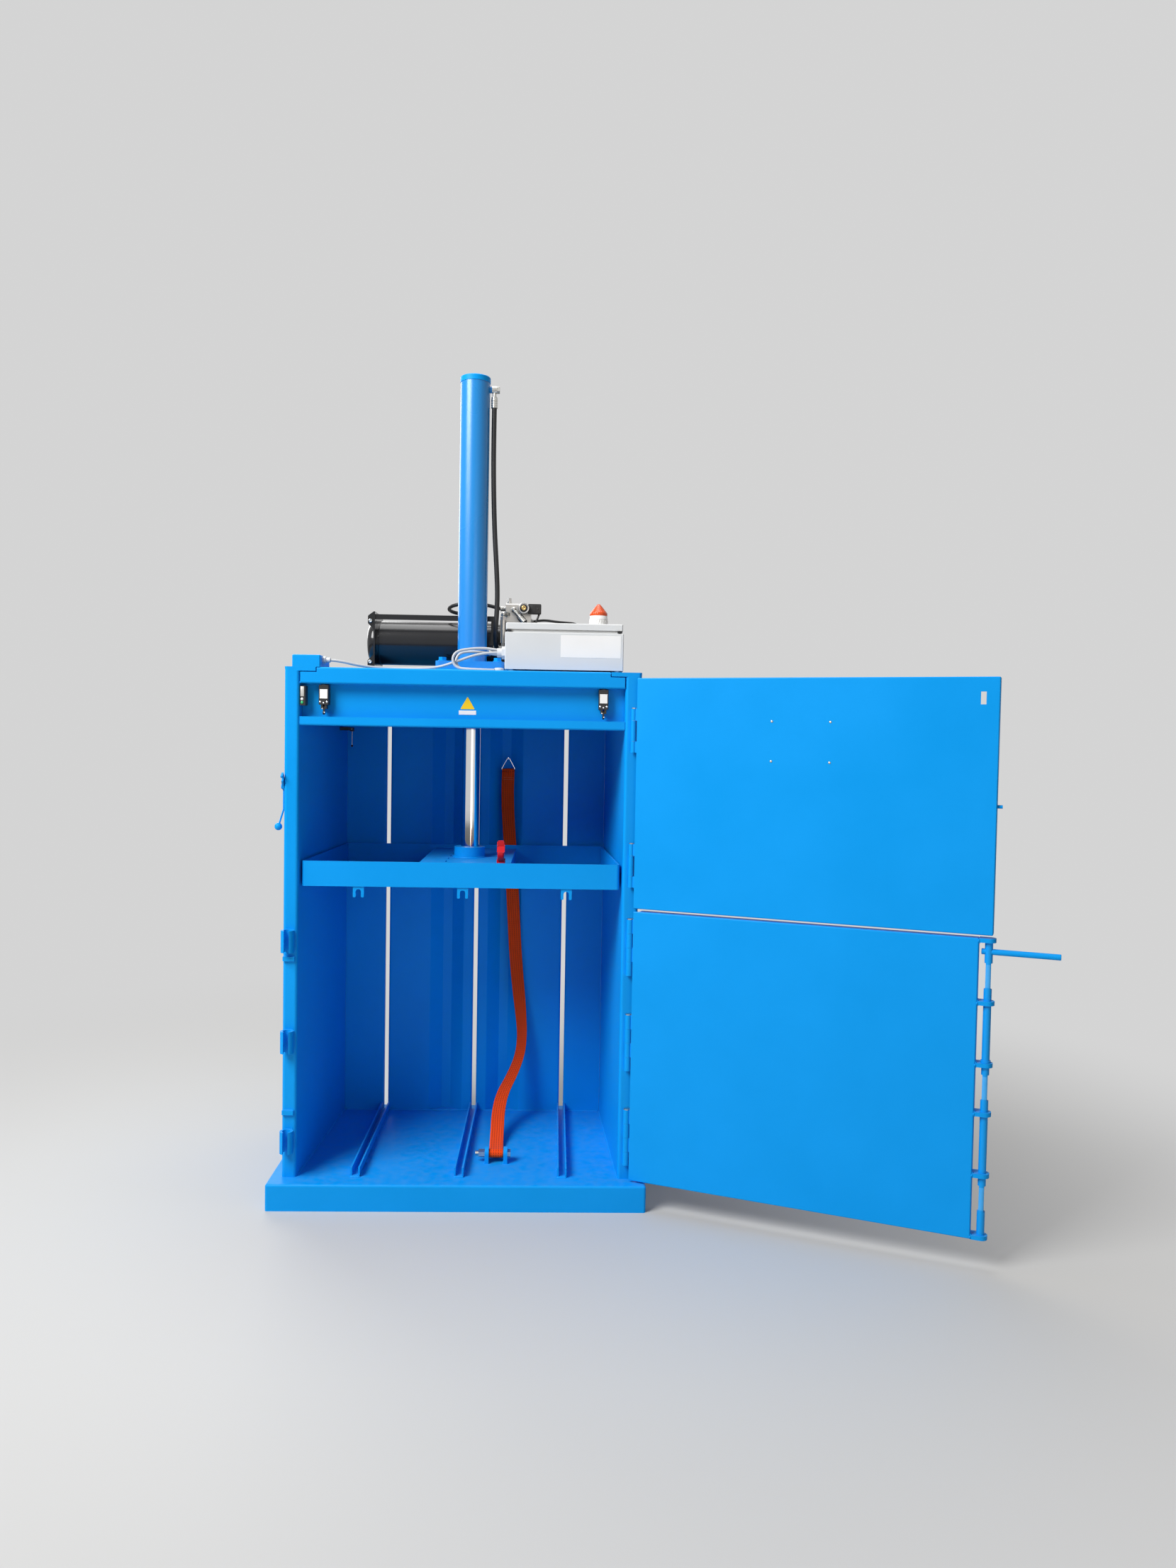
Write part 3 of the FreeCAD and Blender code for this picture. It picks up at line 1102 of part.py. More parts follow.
def ejection_strap():
    """Webbing from the loop on the bolt, along the floor and up behind the platen to its ring."""
    ribbon = Part.makeLoft(strap_sections(), True, True)
    loop = pipe(STRAP_LOOP + STRAP_THICKNESS, STRAP_LOOP, strap_bolt_point(STRAP_BOLT_X - STRAP_WIDTH / 2),
                X_DIR, STRAP_WIDTH)
    axis = strap_bolt_point(STRAP_BOLT_X)
    x0, x1 = STRAP_BOLT_X - STRAP_WIDTH / 2, STRAP_BOLT_X + STRAP_WIDTH / 2
    first = V(0, FRONT + STRAP_ROUTE[0][1], BASE_HEIGHT + STRAP_ROUTE[0][2])
    foot = axis.z - STRAP_LOOP - STRAP_THICKNESS
    half = STRAP_THICKNESS / 2
    neck = plate([V(x0, axis.y, foot), V(x0, first.y + 1, first.z - half), V(x0, first.y + 1, first.z + half),
                  V(x0, axis.y + STRAP_LOOP, axis.z)], V(x1 - x0, 0, 0))
    neck = neck.cut(bar(STRAP_LOOP + half, axis - X_DIR * STRAP_WIDTH, X_DIR, 2 * STRAP_WIDTH))
    top = ring_point(0, 0)
    eye = pipe(RING_WIRE + LIFT_GAP + STRAP_THICKNESS, RING_WIRE + LIFT_GAP,
               top - X_DIR * (STRAP_WIDTH / 2), X_DIR, STRAP_WIDTH)
    return join(ribbon, loop, neck, eye)


def ring_point(across, up):
    """A point of the triangle ring's middle line."""
    return V(RING_X + across, FRONT + RING_BACK, RING_LEVEL + up)


def strap_ring():
    """Triangle of round wire in the strap's upper loop."""
    corners = [ring_point(-RING_HALF, 0), ring_point(RING_HALF, 0), ring_point(0, RING_HEIGHT)]
    start = (corners[0] + corners[1]) * 0.5
    points = [start, corners[1], corners[2], corners[0], start]
    spine = Part.Wire(rounded_path(points, [RING_BEND] * 3))
    circle = Part.Wire(Part.makeCircle(RING_WIRE, start, X_DIR))
    return spine.makePipeShell([circle], True, False)


def ring_hook():
    """Bent rod on the back panel that the ring hangs on."""
    half_angle = math.atan(RING_HALF / RING_HEIGHT)
    crown = RING_BEND / math.sin(half_angle) - RING_BEND
    top = ring_point(0, RING_HEIGHT - crown - RING_WIRE - RING_ROD - LIFT_GAP)
    front = top.y - RING_WIRE - RING_ROD - LIFT_GAP
    base = V(top.x, BACK + BACK_RIB_DEPTH, top.z)
    points = [base, V(top.x, front, top.z), V(top.x, front, top.z + 9)]
    spine = Part.Wire(rounded_path(points, [3.0]))
    circle = Part.Wire(Part.makeCircle(RING_ROD, base, -Y_DIR))
    return spine.makePipeShell([circle], True, False)


# ---------------------------------------------------------------- power pack


def pack_point(x, y=0.0, z=0.0):
    """A point near the power pack's axis."""
    return V(x, PACK_Y + y, PACK_LEVEL + z)


def oil_tank():
    """Drawn steel tank with a domed left end and its filler neck."""
    length = TANK_RIGHT - TANK_LEFT
    corner_r = TANK_RADIUS - TANK_CORNER
    span = TANK_CROWN - TANK_CORNER
    drop = math.sqrt(span ** 2 - corner_r ** 2)
    turn = math.atan2(corner_r, drop)
    corner_y = TANK_CROWN - drop
    half_turn = (turn + math.pi / 2) / 2
    crown = [V(TANK_CROWN * math.sin(t), TANK_CROWN * (1 - math.cos(t)), 0) for t in (0, turn / 2, turn)]
    bend = V(corner_r + TANK_CORNER * math.sin(half_turn), corner_y - TANK_CORNER * math.cos(half_turn), 0)
    wall = [V(TANK_RADIUS, corner_y, 0), V(TANK_RADIUS, length, 0), V(0, length, 0), crown[0]]
    edges = [Part.Arc(*crown).toShape(), Part.Arc(crown[2], bend, wall[0]).toShape()]
    edges += [Part.makeLine(*pair) for pair in zip(wall, wall[1:])]
    body = Part.Face(Part.Wire(edges)).revolve(V(0, 0, 0), Y_DIR, 360)
    body.rotate(V(0, 0, 0), Z_DIR, -90)
    body.translate(pack_point(TANK_LEFT))
    port = bar(11.0, pack_point(RETURN_PORT_X, 0, TANK_RADIUS - 6), Z_DIR, 14)
    return join(body, port)


def tank_bracket():
    """End plate of the pack's frame: it grips the tank, and its ears are folded outwards."""
    half = BRACKET_DEPTH / 2
    x0 = BRACKET_PLACE
    body = block(x0, x0 + BRACKET_SHEET, PACK_Y - half, PACK_Y + half, BODY_TOP, BRACKET_TOP)
    low, middle, high = (PACK_LEVEL + rise for rise in UPPER_EAR)
    near, far = (PACK_LEVEL - rise for rise in LOWER_EAR)
    reach = x0 - BRACKET_FLANGE
    upper = [V(x0 + 1, 0, low), V(reach, 0, middle), V(reach, 0, high), V(x0 + 1, 0, BRACKET_TOP)]
    lower = [V(x0 + 1, 0, near), V(reach, 0, far), V(reach, 0, BODY_TOP), V(x0 + 1, 0, BODY_TOP)]
    for side in (-1, 1):
        for outline in (upper, lower):
            ear = plate(outline, V(0, BRACKET_SHEET, 0))
            ear = round_edges(ear, 6.0, lambda e: runs_along(e, Y_DIR) and e.CenterOfMass.x < reach + 1
                              and e.CenterOfMass.z > BODY_TOP + 1)
            ear.translate(V(0, PACK_Y + side * half - (BRACKET_SHEET if side > 0 else 0), 0))
            body = body.fuse(ear)
    hole = bar(TANK_RADIUS + SEAT_GAP, pack_point(x0 - 1), X_DIR, BRACKET_SHEET + 2)
    return body.cut(hole).removeSplitter()


def pack_rail():
    """Flat bar that ties the end plate to the pump's flange, above the tank's front."""
    y0 = PACK_Y - BRACKET_DEPTH / 2 + BRACKET_SHEET
    return block(BRACKET_PLACE + BRACKET_SHEET, TANK_RIGHT + 15, y0, y0 + RAIL_SHEET,
                 RAIL_LEVEL - RAIL_HEIGHT / 2, RAIL_LEVEL + RAIL_HEIGHT / 2)


def rail_bolts():
    """Cap screws in the end plate's ears."""
    x, y = BRACKET_PLACE - BRACKET_FLANGE / 2, PACK_Y - BRACKET_DEPTH / 2
    return [bar(5.5, V(x, y, z), -Y_DIR, 6) for z in BRACKET_BOLT_LEVELS]


def pump_body():
    """Cast body between tank and motor: mounting flange, round housing, ports and foot."""
    flange = bar(PUMP_RADIUS + 10, pack_point(TANK_RIGHT), X_DIR, 15)
    rest = bar(PUMP_RADIUS, pack_point(TANK_RIGHT + 15), X_DIR, PUMP_RIGHT - TANK_RIGHT - 15)
    pad = block(VALVE_LEFT, VALVE_LEFT + VALVE_WIDTH, PACK_Y - VALVE_DEPTH / 2, PACK_Y + VALVE_DEPTH / 2,
                PACK_LEVEL, PACK_LEVEL + PUMP_RADIUS + 4)
    tabs = block(TANK_RIGHT, TANK_RIGHT + 15, PACK_Y - BRACKET_DEPTH / 2 + BRACKET_SHEET + RAIL_SHEET, PACK_Y,
                 PACK_LEVEL, RAIL_LEVEL + RAIL_HEIGHT / 2)
    foot = block(TANK_RIGHT + 20, TANK_RIGHT + 70, PACK_Y - 70, PACK_Y + 70, BODY_TOP, PACK_LEVEL - 40)
    port = bar(12.0, V(PUMP_PORT_X, PACK_Y, PUMP_PORT_Z), -Y_DIR, PUMP_RADIUS + 6)
    return join(flange, rest, pad, tabs, foot, port)


def electric_motor():
    """Finned motor barrel with its terminal box at the back and two feet."""
    start = PUMP_RIGHT
    body = bar(MOTOR_RADIUS, pack_point(start), X_DIR, MOTOR_LENGTH)
    end_bell = bar(MOTOR_RADIUS + FIN_HEIGHT - 1, pack_point(start), X_DIR, 18)
    fins = []
    for k in range(FIN_COUNT):
        fin = block(start + 10, start + MOTOR_LENGTH, PACK_Y - 1.5, PACK_Y + 1.5,
                    PACK_LEVEL + MOTOR_RADIUS - 4, PACK_LEVEL + MOTOR_RADIUS + FIN_HEIGHT)
        fin.rotate(pack_point(0), X_DIR, (k + 0.5) * 360.0 / FIN_COUNT)
        fins.append(fin)
    terminal = block(start + TERMINAL_START, start + TERMINAL_START + TERMINAL_LENGTH,
                     PACK_Y + MOTOR_RADIUS - 12, PACK_Y + MOTOR_RADIUS + TERMINAL_HEIGHT,
                     PACK_LEVEL - 45, PACK_LEVEL + 45)
    feet = [block(x, x + 30, PACK_Y - 55, PACK_Y + 55, BODY_TOP, PACK_LEVEL - MOTOR_RADIUS + 8)
            for x in (start + 25, start + MOTOR_LENGTH - 60)]
    return join(body, end_bell, terminal, *fins, *feet)


def fan_cover():
    """Pressed cowl over the motor's fan, with a ring of air slots in its end."""
    start = PUMP_RIGHT + MOTOR_LENGTH
    radius = MOTOR_RADIUS + FIN_HEIGHT
    cowl = bar(radius, pack_point(start), X_DIR, FAN_COVER_LENGTH)
    cowl = round_edges(cowl, 8.0, lambda e: isinstance(e.Curve, Part.Circle) and e.CenterOfMass.x > start + 1)
    room = bar(radius - 2, pack_point(start - 9), X_DIR, FAN_COVER_LENGTH + 7)
    room = round_edges(room, 6.0, lambda e: isinstance(e.Curve, Part.Circle) and e.CenterOfMass.x > start + 1)
    cowl = cowl.cut(room)
    for k in range(12):
        slot = block(start + FAN_COVER_LENGTH - 4, start + FAN_COVER_LENGTH + 1, PACK_Y - 3, PACK_Y + 3,
                     PACK_LEVEL + 20, PACK_LEVEL + radius - 16)
        slot.rotate(pack_point(0), X_DIR, k * 30.0)
        cowl = cowl.cut(slot)
    return cowl


def valve_block():
    """Machined valve block on the pump's pad, with a plug on top."""
    y0, y1 = PACK_Y - VALVE_DEPTH / 2, PACK_Y + VALVE_DEPTH / 2
    foot = PACK_LEVEL + PUMP_RADIUS + 4
    body = block(VALVE_LEFT, VALVE_LEFT + VALVE_WIDTH, y0, y1, foot, VALVE_TOP)
    body = body.makeChamfer(2.5, body.Edges)
    plug = join(bar(10.0, V(VALVE_LEFT + 12, y0 + 16, VALVE_TOP), Z_DIR, 9),
                hexagon(8.5, V(VALVE_LEFT + 12, y0 + 16, VALVE_TOP + 9), Z_DIR, 12))
    return join(body, plug)


def solenoid_place():
    """Middle of the coil's front face."""
    return V(VALVE_LEFT + 66, PACK_Y - VALVE_DEPTH / 2, VALVE_TOP - 20)


def solenoid_coil():
    """Round coil on the front of the valve block, with its knurled nut."""
    c = solenoid_place()
    base = bar(9.0, c, -Y_DIR, 8)
    coil = bar(COIL_RADIUS, c - Y_DIR * 8, -Y_DIR, 32)
    coil = round_edges(coil, 2.5, lambda e: isinstance(e.Curve, Part.Circle))
    nut = bar(8.0, c - Y_DIR * 40, -Y_DIR, 7)
    return join(base, coil, nut)


def valve_connector():
    """Moulded plug on the side of the coil."""
    c = solenoid_place()
    body = block(c.x + COIL_RADIUS - 3, c.x + COIL_RADIUS + 44, c.y - 34, c.y - 12, c.z - 18, c.z + 17)
    body = round_edges(body, 4.0, lambda e: runs_along(e, Y_DIR))
    shade = bar(COIL_RADIUS + 0.2, c, -Y_DIR, 50)
    return body.cut(shade)


def check_valve():
    """Port block on the pump's front with the screwed-in valve on it, piped to the valve block."""
    x, y = PUMP_PORT_X + 12, PACK_Y - PUMP_RADIUS - 15
    top = PUMP_PORT_Z + 14
    body = block(PUMP_PORT_X - 19, PUMP_PORT_X + 26, y - 12, PACK_Y - PUMP_RADIUS - 6, PUMP_PORT_Z - 12, top)
    neck = bar(6.0, V(x, y, top), Z_DIR, 14)
    barrel = bar(10.5, V(x, y, top + 12), Z_DIR, 79)
    nut = hexagon(9.0, V(x, y, top + 91), Z_DIR, 12)
    knee = V(x, y, top + 112)
    root = V(VALVE_LEFT + 11, PACK_Y - VALVE_DEPTH / 2, knee.z + 6)
    run = root - knee
    line = bar(6.0, knee, run, run.Length)
    collar = bar(9.0, knee + run * 0.55, run, run.Length * 0.3)
    valve = join(body, neck, barrel, nut, bar(6.0, V(x, y, top + 103), Z_DIR, 9), Part.makeSphere(9.0, knee),
                 line, collar)
    return valve.cut(pump_body()).cut(valve_block())


# Routes of the hoses and cables, chosen by hand: x, distance behind the posts' faces, height.


def route(points):
    """Route points in the model's frame."""
    return [V(x, FRONT + back, z) for x, back, z in points]


def cap_fitting():
    """Banjo eye on the upper port, its bolt, and the ferrule that the hose hangs from."""
    eye_start = TUBE_RADIUS + 7
    centre = cylinder_point(PORT_LEVEL)
    eye = bar(12.5, centre + X_DIR * eye_start, X_DIR, 17)
    head = hexagon(11.0, centre + X_DIR * (eye_start + 17), X_DIR, 9)
    hang = route(PRESSURE_ROUTE)[0]
    stem = bar(6.5, V(hang.x, hang.y, hang.z + 30), Z_DIR, PORT_LEVEL - hang.z - 32)
    ferrule = bar(PRESSURE_DIAMETER / 2 + 2, hang, Z_DIR, 36)
    return join(eye, head, stem, ferrule)


def lower_fitting():
    """Straight fitting in the cylinder's lower port."""
    direction = port_direction()
    start = cylinder_point(LOW_PORT_LEVEL) + direction * (TUBE_RADIUS + 7)
    tip = route(ROD_SIDE_ROUTE)[-1]
    run = tip - start
    seat = bar(10.0, start, direction, 8)
    reach = run - direction * 6
    stem_length = reach.Length - 16
    stem = bar(8.0, start + direction * 6, reach.normalize(), stem_length)
    ferrule = bar(PRESSURE_DIAMETER / 2 + 3, tip, (start + direction * 6 - tip).normalize(), 18)
    return join(seat, stem, ferrule)


def pump_fittings():
    """Hose ends at the pump's pressure port and at the valve block."""
    tip = route(PRESSURE_ROUTE)[-1]
    port = V(tip.x + 1, PACK_Y - PUMP_RADIUS - 27, PUMP_PORT_Z + 1)
    run = (port - tip).normalize()
    end = join(bar(PRESSURE_DIAMETER / 2 + 2, tip, run, (port - tip).Length - 5),
               bar(7.0, tip, run, (port - tip).Length + 4))
    pieces = [end.cut(check_valve())]
    tip = route(ROD_SIDE_ROUTE)[0]
    root = V(VALVE_LEFT + 30, PACK_Y - VALVE_DEPTH / 2, VALVE_TOP - 24)
    out = root - Y_DIR * 30
    run = (tip - out).normalize()
    pieces.append(join(bar(8.0, root, -Y_DIR, 30), Part.makeSphere(10.0, out),
                       bar(7.0, out, run, (tip - out).Length),
                       bar(PRESSURE_DIAMETER / 2 + 2.5, tip, -run, 30)))
    tip = route(RETURN_ROUTE)[0]
    root = V(VALVE_LEFT, tip.y, tip.z)
    pieces.append(join(bar(8.5, tip, X_DIR, root.x - tip.x), bar(6.0, tip, X_DIR, root.x - tip.x)))
    tip = route(RETURN_ROUTE)[-1]
    seat = pack_point(RETURN_PORT_X, 0, TANK_RADIUS + 10)
    elbow = join(bar(8.5, tip, (seat - tip).normalize(), (seat - tip).Length - 4),
                 Part.makeSphere(8.5, seat + V(0, 0, 4)).common(bar(12, seat, Z_DIR, 20)))
    pieces.append(elbow.cut(oil_tank()))
    return Part.makeCompound(pieces)


# ---------------------------------------------------------------- enclosure, beacon and cables


def enclosure_body():
    """Sheet box lying on its back on four feet, with a narrower neck under the lid."""
    x0, x1 = BOX_LEFT, BOX_LEFT + BOX_WIDTH
    y0, y1 = FRONT + BOX_FRONT, FRONT + BOX_FRONT + BOX_DEPTH
    foot = BODY_TOP + BOX_FEET
    shoulder = foot + BOX_BODY
    body = round_edges(block(x0, x1, y0, y1, foot, shoulder), 3.0,
                       lambda e: runs_along(e, Z_DIR) or e.CenterOfMass.z > shoulder - 1)
    inset = BOX_NECK_INSET
    neck = block(x0 + inset, x1 - inset, y0 + inset, y1 - inset, shoulder - 1, shoulder + BOX_NECK)
    room = block(x0 + inset + BOX_SHEET, x1 - inset - BOX_SHEET, y0 + inset + BOX_SHEET,
                 y1 - inset - BOX_SHEET, foot + BOX_SHEET, shoulder + BOX_NECK + 1)
    feet = [bar(8.0, V(x, y, BODY_TOP), Z_DIR, BOX_FEET)
            for x in (x0 + 20, x1 - 20) for y in (y0 + 20, y1 - 20)]
    return join(body, neck, *feet).cut(room)


def enclosure_lid():
    """Lid with a turned-down edge; it hinges along its front side."""
    x0, x1 = BOX_LEFT + LID_INSET, BOX_LEFT + BOX_WIDTH - LID_INSET
    y0, y1 = FRONT + BOX_FRONT + LID_INSET, FRONT + BOX_FRONT + BOX_DEPTH - LID_INSET
    lid = block(x0, x1, y0, y1, LID_BOTTOM, LID_TOP)
    lid = round_edges(lid, 4.0, lambda e: runs_along(e, Z_DIR) or e.CenterOfMass.z > LID_TOP - 1)
    room = block(x0 + BOX_SHEET, x1 - BOX_SHEET, y0 + BOX_SHEET, y1 - BOX_SHEET,
                 LID_BOTTOM - 1, LID_TOP - BOX_SHEET)
    lid = lid.cut(room)
    for x, y in lid_lock_places():
        lid = lid.cut(bar(6.0, V(x, y, LID_TOP - 2 * BOX_SHEET), Z_DIR, 10))
    return lid


def lid_lock_places():
    """The lid's two quarter-turn locks, near its rear edge."""
    y = FRONT + BOX_FRONT + BOX_DEPTH - LID_LOCK_BACK
    return ((BOX_LEFT + LID_LOCK_IN, y), (BOX_LEFT + BOX_WIDTH - LID_LOCK_IN, y))


def lid_lock(x, y):
    """Quarter-turn lock: a slotted disc on the lid and a tongue below it."""
    disc = bar(9.0, V(x, y, LID_TOP), Z_DIR, 2.5)
    disc = disc.cut(block(x - 6, x + 6, y - 1.2, y + 1.2, LID_TOP + 1.3, LID_TOP + 4))
    shank = bar(6.0, V(x, y, LID_BOTTOM - 5), Z_DIR, LID_HEIGHT + 5)
    tongue = block(x - 5, x + 5, y - 6, y + LID_LOCK_BACK - BOX_NECK_INSET - BOX_SHEET - 1, LID_BOTTOM - 7,
                   LID_BOTTOM - 3)
    return join(disc, shank, tongue)


def lid_axis():
    """Left end of the lid's hinge axis; the axis runs to the right."""
    return V(BOX_LEFT, FRONT + BOX_FRONT + LID_AXIS_IN, LID_BOTTOM - LID_AXIS_DROP)


def lid_hinges(fixed):
    """The box's or the lid's half of two small hinges at the ends of the front side."""
    a = lid_axis()
    third = LID_HINGE_WIDTH / 3
    pieces = []
    for x in (a.x + LID_HINGE_IN, a.x + BOX_WIDTH - LID_HINGE_IN - LID_HINGE_WIDTH):
        if fixed:
            for low in (x, x + 2 * third):
                knuckle = bar(LID_KNUCKLE, V(low, a.y, a.z), X_DIR, third)
                leaf = block(low, low + third, a.y, a.y + BOX_NECK_INSET - LID_AXIS_IN, a.z - 2, a.z + 2)
                bore = bar(1.5 + RUNNING, V(low - 1, a.y, a.z), X_DIR, third + 2)
                pieces.append(join(knuckle, leaf).cut(bore))
        else:
            low, high = x + third + FACE_GAP, x + 2 * third - FACE_GAP
            knuckle = bar(LID_KNUCKLE, V(low, a.y, a.z), X_DIR, high - low)
            inner = a.y - LID_AXIS_IN + LID_INSET + BOX_SHEET
            tab = block(low, high, inner, inner + 2, a.z, a.z + LID_AXIS_DROP + 8)
            pin = bar(1.5, V(x, a.y, a.z), X_DIR, LID_HINGE_WIDTH)
            pieces.append(join(knuckle, tab, pin))
    return pieces


def beacon_base():
    """Turned foot of the beacon: a wide rim on the lid, a flare and a short neck."""
    axis = V(BEACON_X, FRONT + BEACON_BACK, 0)
    neck = BEACON_RADIUS - 1
    profile = [V(0, 0, 0), V(BEACON_RADIUS + 5, 0, 0), V(BEACON_RADIUS + 5, 0, 6), V(neck, 0, 24),
               V(neck, 0, BEACON_BASE), V(0, 0, BEACON_BASE), V(0, 0, 0)]
    base = Part.Face(Part.makePolygon(profile)).revolve(V(0, 0, 0), Z_DIR, 360)
    base.translate(axis + Z_DIR * LID_TOP)
    return base


def beacon_lens():
    """Moulded lens: a short skirt, a cone and a rounded tip."""
    foot = LID_TOP + BEACON_BASE
    r = BEACON_RADIUS - 1
    wall = 2.5
    tip = foot + BEACON_LENS
    axis = V(BEACON_X, FRONT + BEACON_BACK, 0)

    def bell(radius, base, top):
        points = [V(0, 0, base), V(radius, 0, base), V(radius, 0, base + 13), V(6, 0, top - 3), V(0, 0, top)]
        edges = [Part.makeLine(points[0], points[1]), Part.makeLine(points[1], points[2]),
                 Part.makeLine(points[2], points[3]), Part.makeLine(points[3], points[4]),
                 Part.makeLine(points[4], points[0])]
        return Part.Face(Part.Wire(edges)).revolve(V(0, 0, 0), Z_DIR, 360)

    shell = bell(r, foot, tip).cut(bell(r - wall, foot - 1, tip - wall))
    shell.translate(axis)
    return shell


def cable_gland():
    """Wide gland on the enclosure's left side: hexagon, and the dome the cables leave by."""
    c = V(BOX_LEFT, FRONT + GLAND_BACK, GLAND_LEVEL)
    body = join(hexagon(GLAND_RADIUS, c, -X_DIR, 12), bar(GLAND_RADIUS - 3, c - X_DIR * 12, -X_DIR, 15))
    return body


def small_gland():
    """Gland on the interlock box."""
    c = V(INTERLOCK_BOX_X + INTERLOCK_BOX_WIDTH, FRONT + SMALL_GLAND_BACK, SMALL_GLAND_LEVEL)
    return join(hexagon(10.0, c, X_DIR, 10), bar(8.0, c + X_DIR * 10, X_DIR, 14))


def rear_glands():
    """Small glands at the ends of the coil's and the sensor's cables."""
    back = FRONT + BOX_FRONT + BOX_DEPTH
    tip = route(COIL_CABLE)[-1]
    coil = join(hexagon(9.0, V(tip.x, back, tip.z), Y_DIR, 6),
                bar(7.0, V(tip.x, back, tip.z), Y_DIR, tip.y - back))
    tip = route(SENSOR_CABLE)[0]
    side = VALVE_LEFT + VALVE_WIDTH
    sensor = join(hexagon(7.5, V(side, tip.y, tip.z), X_DIR, 4),
                  bar(6.5, V(side, tip.y, tip.z), X_DIR, tip.x - side))
    tip = route(SENSOR_CABLE)[-1]
    seat = V(tip.x, tip.y, PACK_LEVEL + 45)
    motor = join(hexagon(9.0, seat, Z_DIR, 4), bar(7.0, seat, Z_DIR, tip.z - seat.z))
    return [coil, sensor, motor]


def cable_grommet():
    """Rubber bush in the roof through which two cables go down to the switches."""
    c = V(GROMMET_X, FRONT + GROMMET_BACK, BODY_TOP)
    collar = bar(CABLE_HOLE + 4, c, Z_DIR, 3)
    dome = round_edges(bar(CABLE_HOLE - 1, c, Z_DIR, 13), 4.0,
                       lambda e: isinstance(e.Curve, Part.Circle) and e.CenterOfMass.z > BODY_TOP + 5)
    plug = bar(CABLE_HOLE - LIFT_GAP, c - Z_DIR * ROOF_SHEET, Z_DIR, ROOF_SHEET)
    return join(collar, dome, plug)


def interlock_box():
    """Low cover on the roof's front left corner."""
    x0 = INTERLOCK_BOX_X
    cover = block(x0, x0 + INTERLOCK_BOX_WIDTH, FRONT, FRONT + INTERLOCK_BOX_DEPTH, BODY_TOP,
                  BODY_TOP + INTERLOCK_BOX_HEIGHT)
    return round_edges(cover, 4.0, lambda e: runs_along(e, Z_DIR) or e.CenterOfMass.z > BODY_TOP + 20)


# ---------------------------------------------------------------- switches and latch


def limit_switch(x):
    """Position switch on the beam's web, its head below."""
    web = FRONT + BEAM_WEB_SETBACK
    body = block(x - SWITCH_WIDTH / 2, x + SWITCH_WIDTH / 2, web - SWITCH_DEPTH, web,
                 SWITCH_LEVEL, SWITCH_LEVEL + SWITCH_HEIGHT)
    body = round_edges(body, 2.5, lambda e: runs_along(e, Z_DIR) and e.CenterOfMass.y < web - 1)
    head = block(x - 9, x - 3, web - SWITCH_DEPTH + 3, web - 4, SWITCH_LEVEL - 13, SWITCH_LEVEL)
    ear = block(x + 3, x + 9, web - SWITCH_DEPTH + 3, web - 4, SWITCH_LEVEL - 13, SWITCH_LEVEL)
    pin = switch_pivot(x)
    bore = bar(1.5 + RUNNING, pin - X_DIR * 20, X_DIR, 40)
    return join(body, head, ear).cut(bore)


def switch_pivot(x):
    """Axis of a roller lever."""
    return V(x, FRONT + BEAM_WEB_SETBACK - SWITCH_DEPTH + 9, SWITCH_LEVEL - 8)


def roller_lever(x):
    """Forked lever with its roller and pivot pin."""
    pivot = switch_pivot(x)
    low = pivot - Z_DIR * LEVER_DROP
    arm = join(block(x - 2.5, x + 2.5, pivot.y - 3, pivot.y + 3, low.z, pivot.z),
               bar(3.0, pivot - X_DIR * 2.5, X_DIR, 5))
    roller = bar(ROLLER_RADIUS, low - X_DIR * 3, X_DIR, 6)
    pin = bar(1.5, pivot - X_DIR * 8.5, X_DIR, 17)
    return join(arm, roller, pin)


def interlock_switch():
    """Door switch on the left wall, behind the slot of the closed door."""
    y0, y1 = FRONT + 5, FRONT + BEAM_WEB_SETBACK
    wall = skin(-1, y1) + SEAT_GAP
    body = block(wall, wall + 17, y0, y1, INTERLOCK_LEVEL - INTERLOCK_HEIGHT / 2,
                 INTERLOCK_LEVEL + INTERLOCK_HEIGHT / 2)
    return round_edges(body, 2.0, lambda e: runs_along(e, Z_DIR) and e.CenterOfMass.x > wall + 1)


def wand_switch():
    """Top-position switch on the left wall near the back."""
    y = FRONT + WAND_BACK
    wall = skin(-1, y + 12)
    body = block(wall + SEAT_GAP, wall + WAND_REACH, y - 12, y + 12, WAND_LEVEL - 5, WAND_LEVEL + 8)
    body = round_edges(body, 2.0, lambda e: runs_along(e, X_DIR))
    fork = [block(wall + WAND_REACH, wall + WAND_REACH + 12, y + side * 7 - 2.5, y + side * 7 + 2.5,
                  WAND_LEVEL - 8, WAND_LEVEL + 6) for side in (-1, 1)]
    bore = bar(2.0 + RUNNING, wand_pivot() - Y_DIR * 15, Y_DIR, 30)
    return join(body, *fork).cut(bore)


def wand_pivot():
    """Axis of the wand."""
    y = FRONT + WAND_BACK
    return V(skin(-1, y + 12) + WAND_REACH + 6, y, WAND_LEVEL)


def switch_wand():
    """Thin wand that the rising platen pushes aside."""
    pivot = wand_pivot()
    stem = bar(1.5, pivot, -Z_DIR, WAND_LEVEL - WAND_TIP)
    hub = bar(4.0, pivot - Y_DIR * 4, Y_DIR, 8)
    pin = bar(2.0, pivot - Y_DIR * 9.5, Y_DIR, 19)
    return join(stem, hub, pin)


def latch_axis():
    """Axis of the upper door's side latch, on the left post's outer face."""
    return V(-OUTER_HALF, FRONT + LATCH_BACK, LATCH_LEVEL)


def latch_stud():
    """Shoulder stud on which the side latch turns."""
    a = latch_axis()
    return join(bar(5.0, a, -X_DIR, 7), bar(8.0, a - X_DIR * (7 + LIFT_GAP), -X_DIR, 3).fuse(
        bar(5.0, a - X_DIR * 7, -X_DIR, LIFT_GAP)))


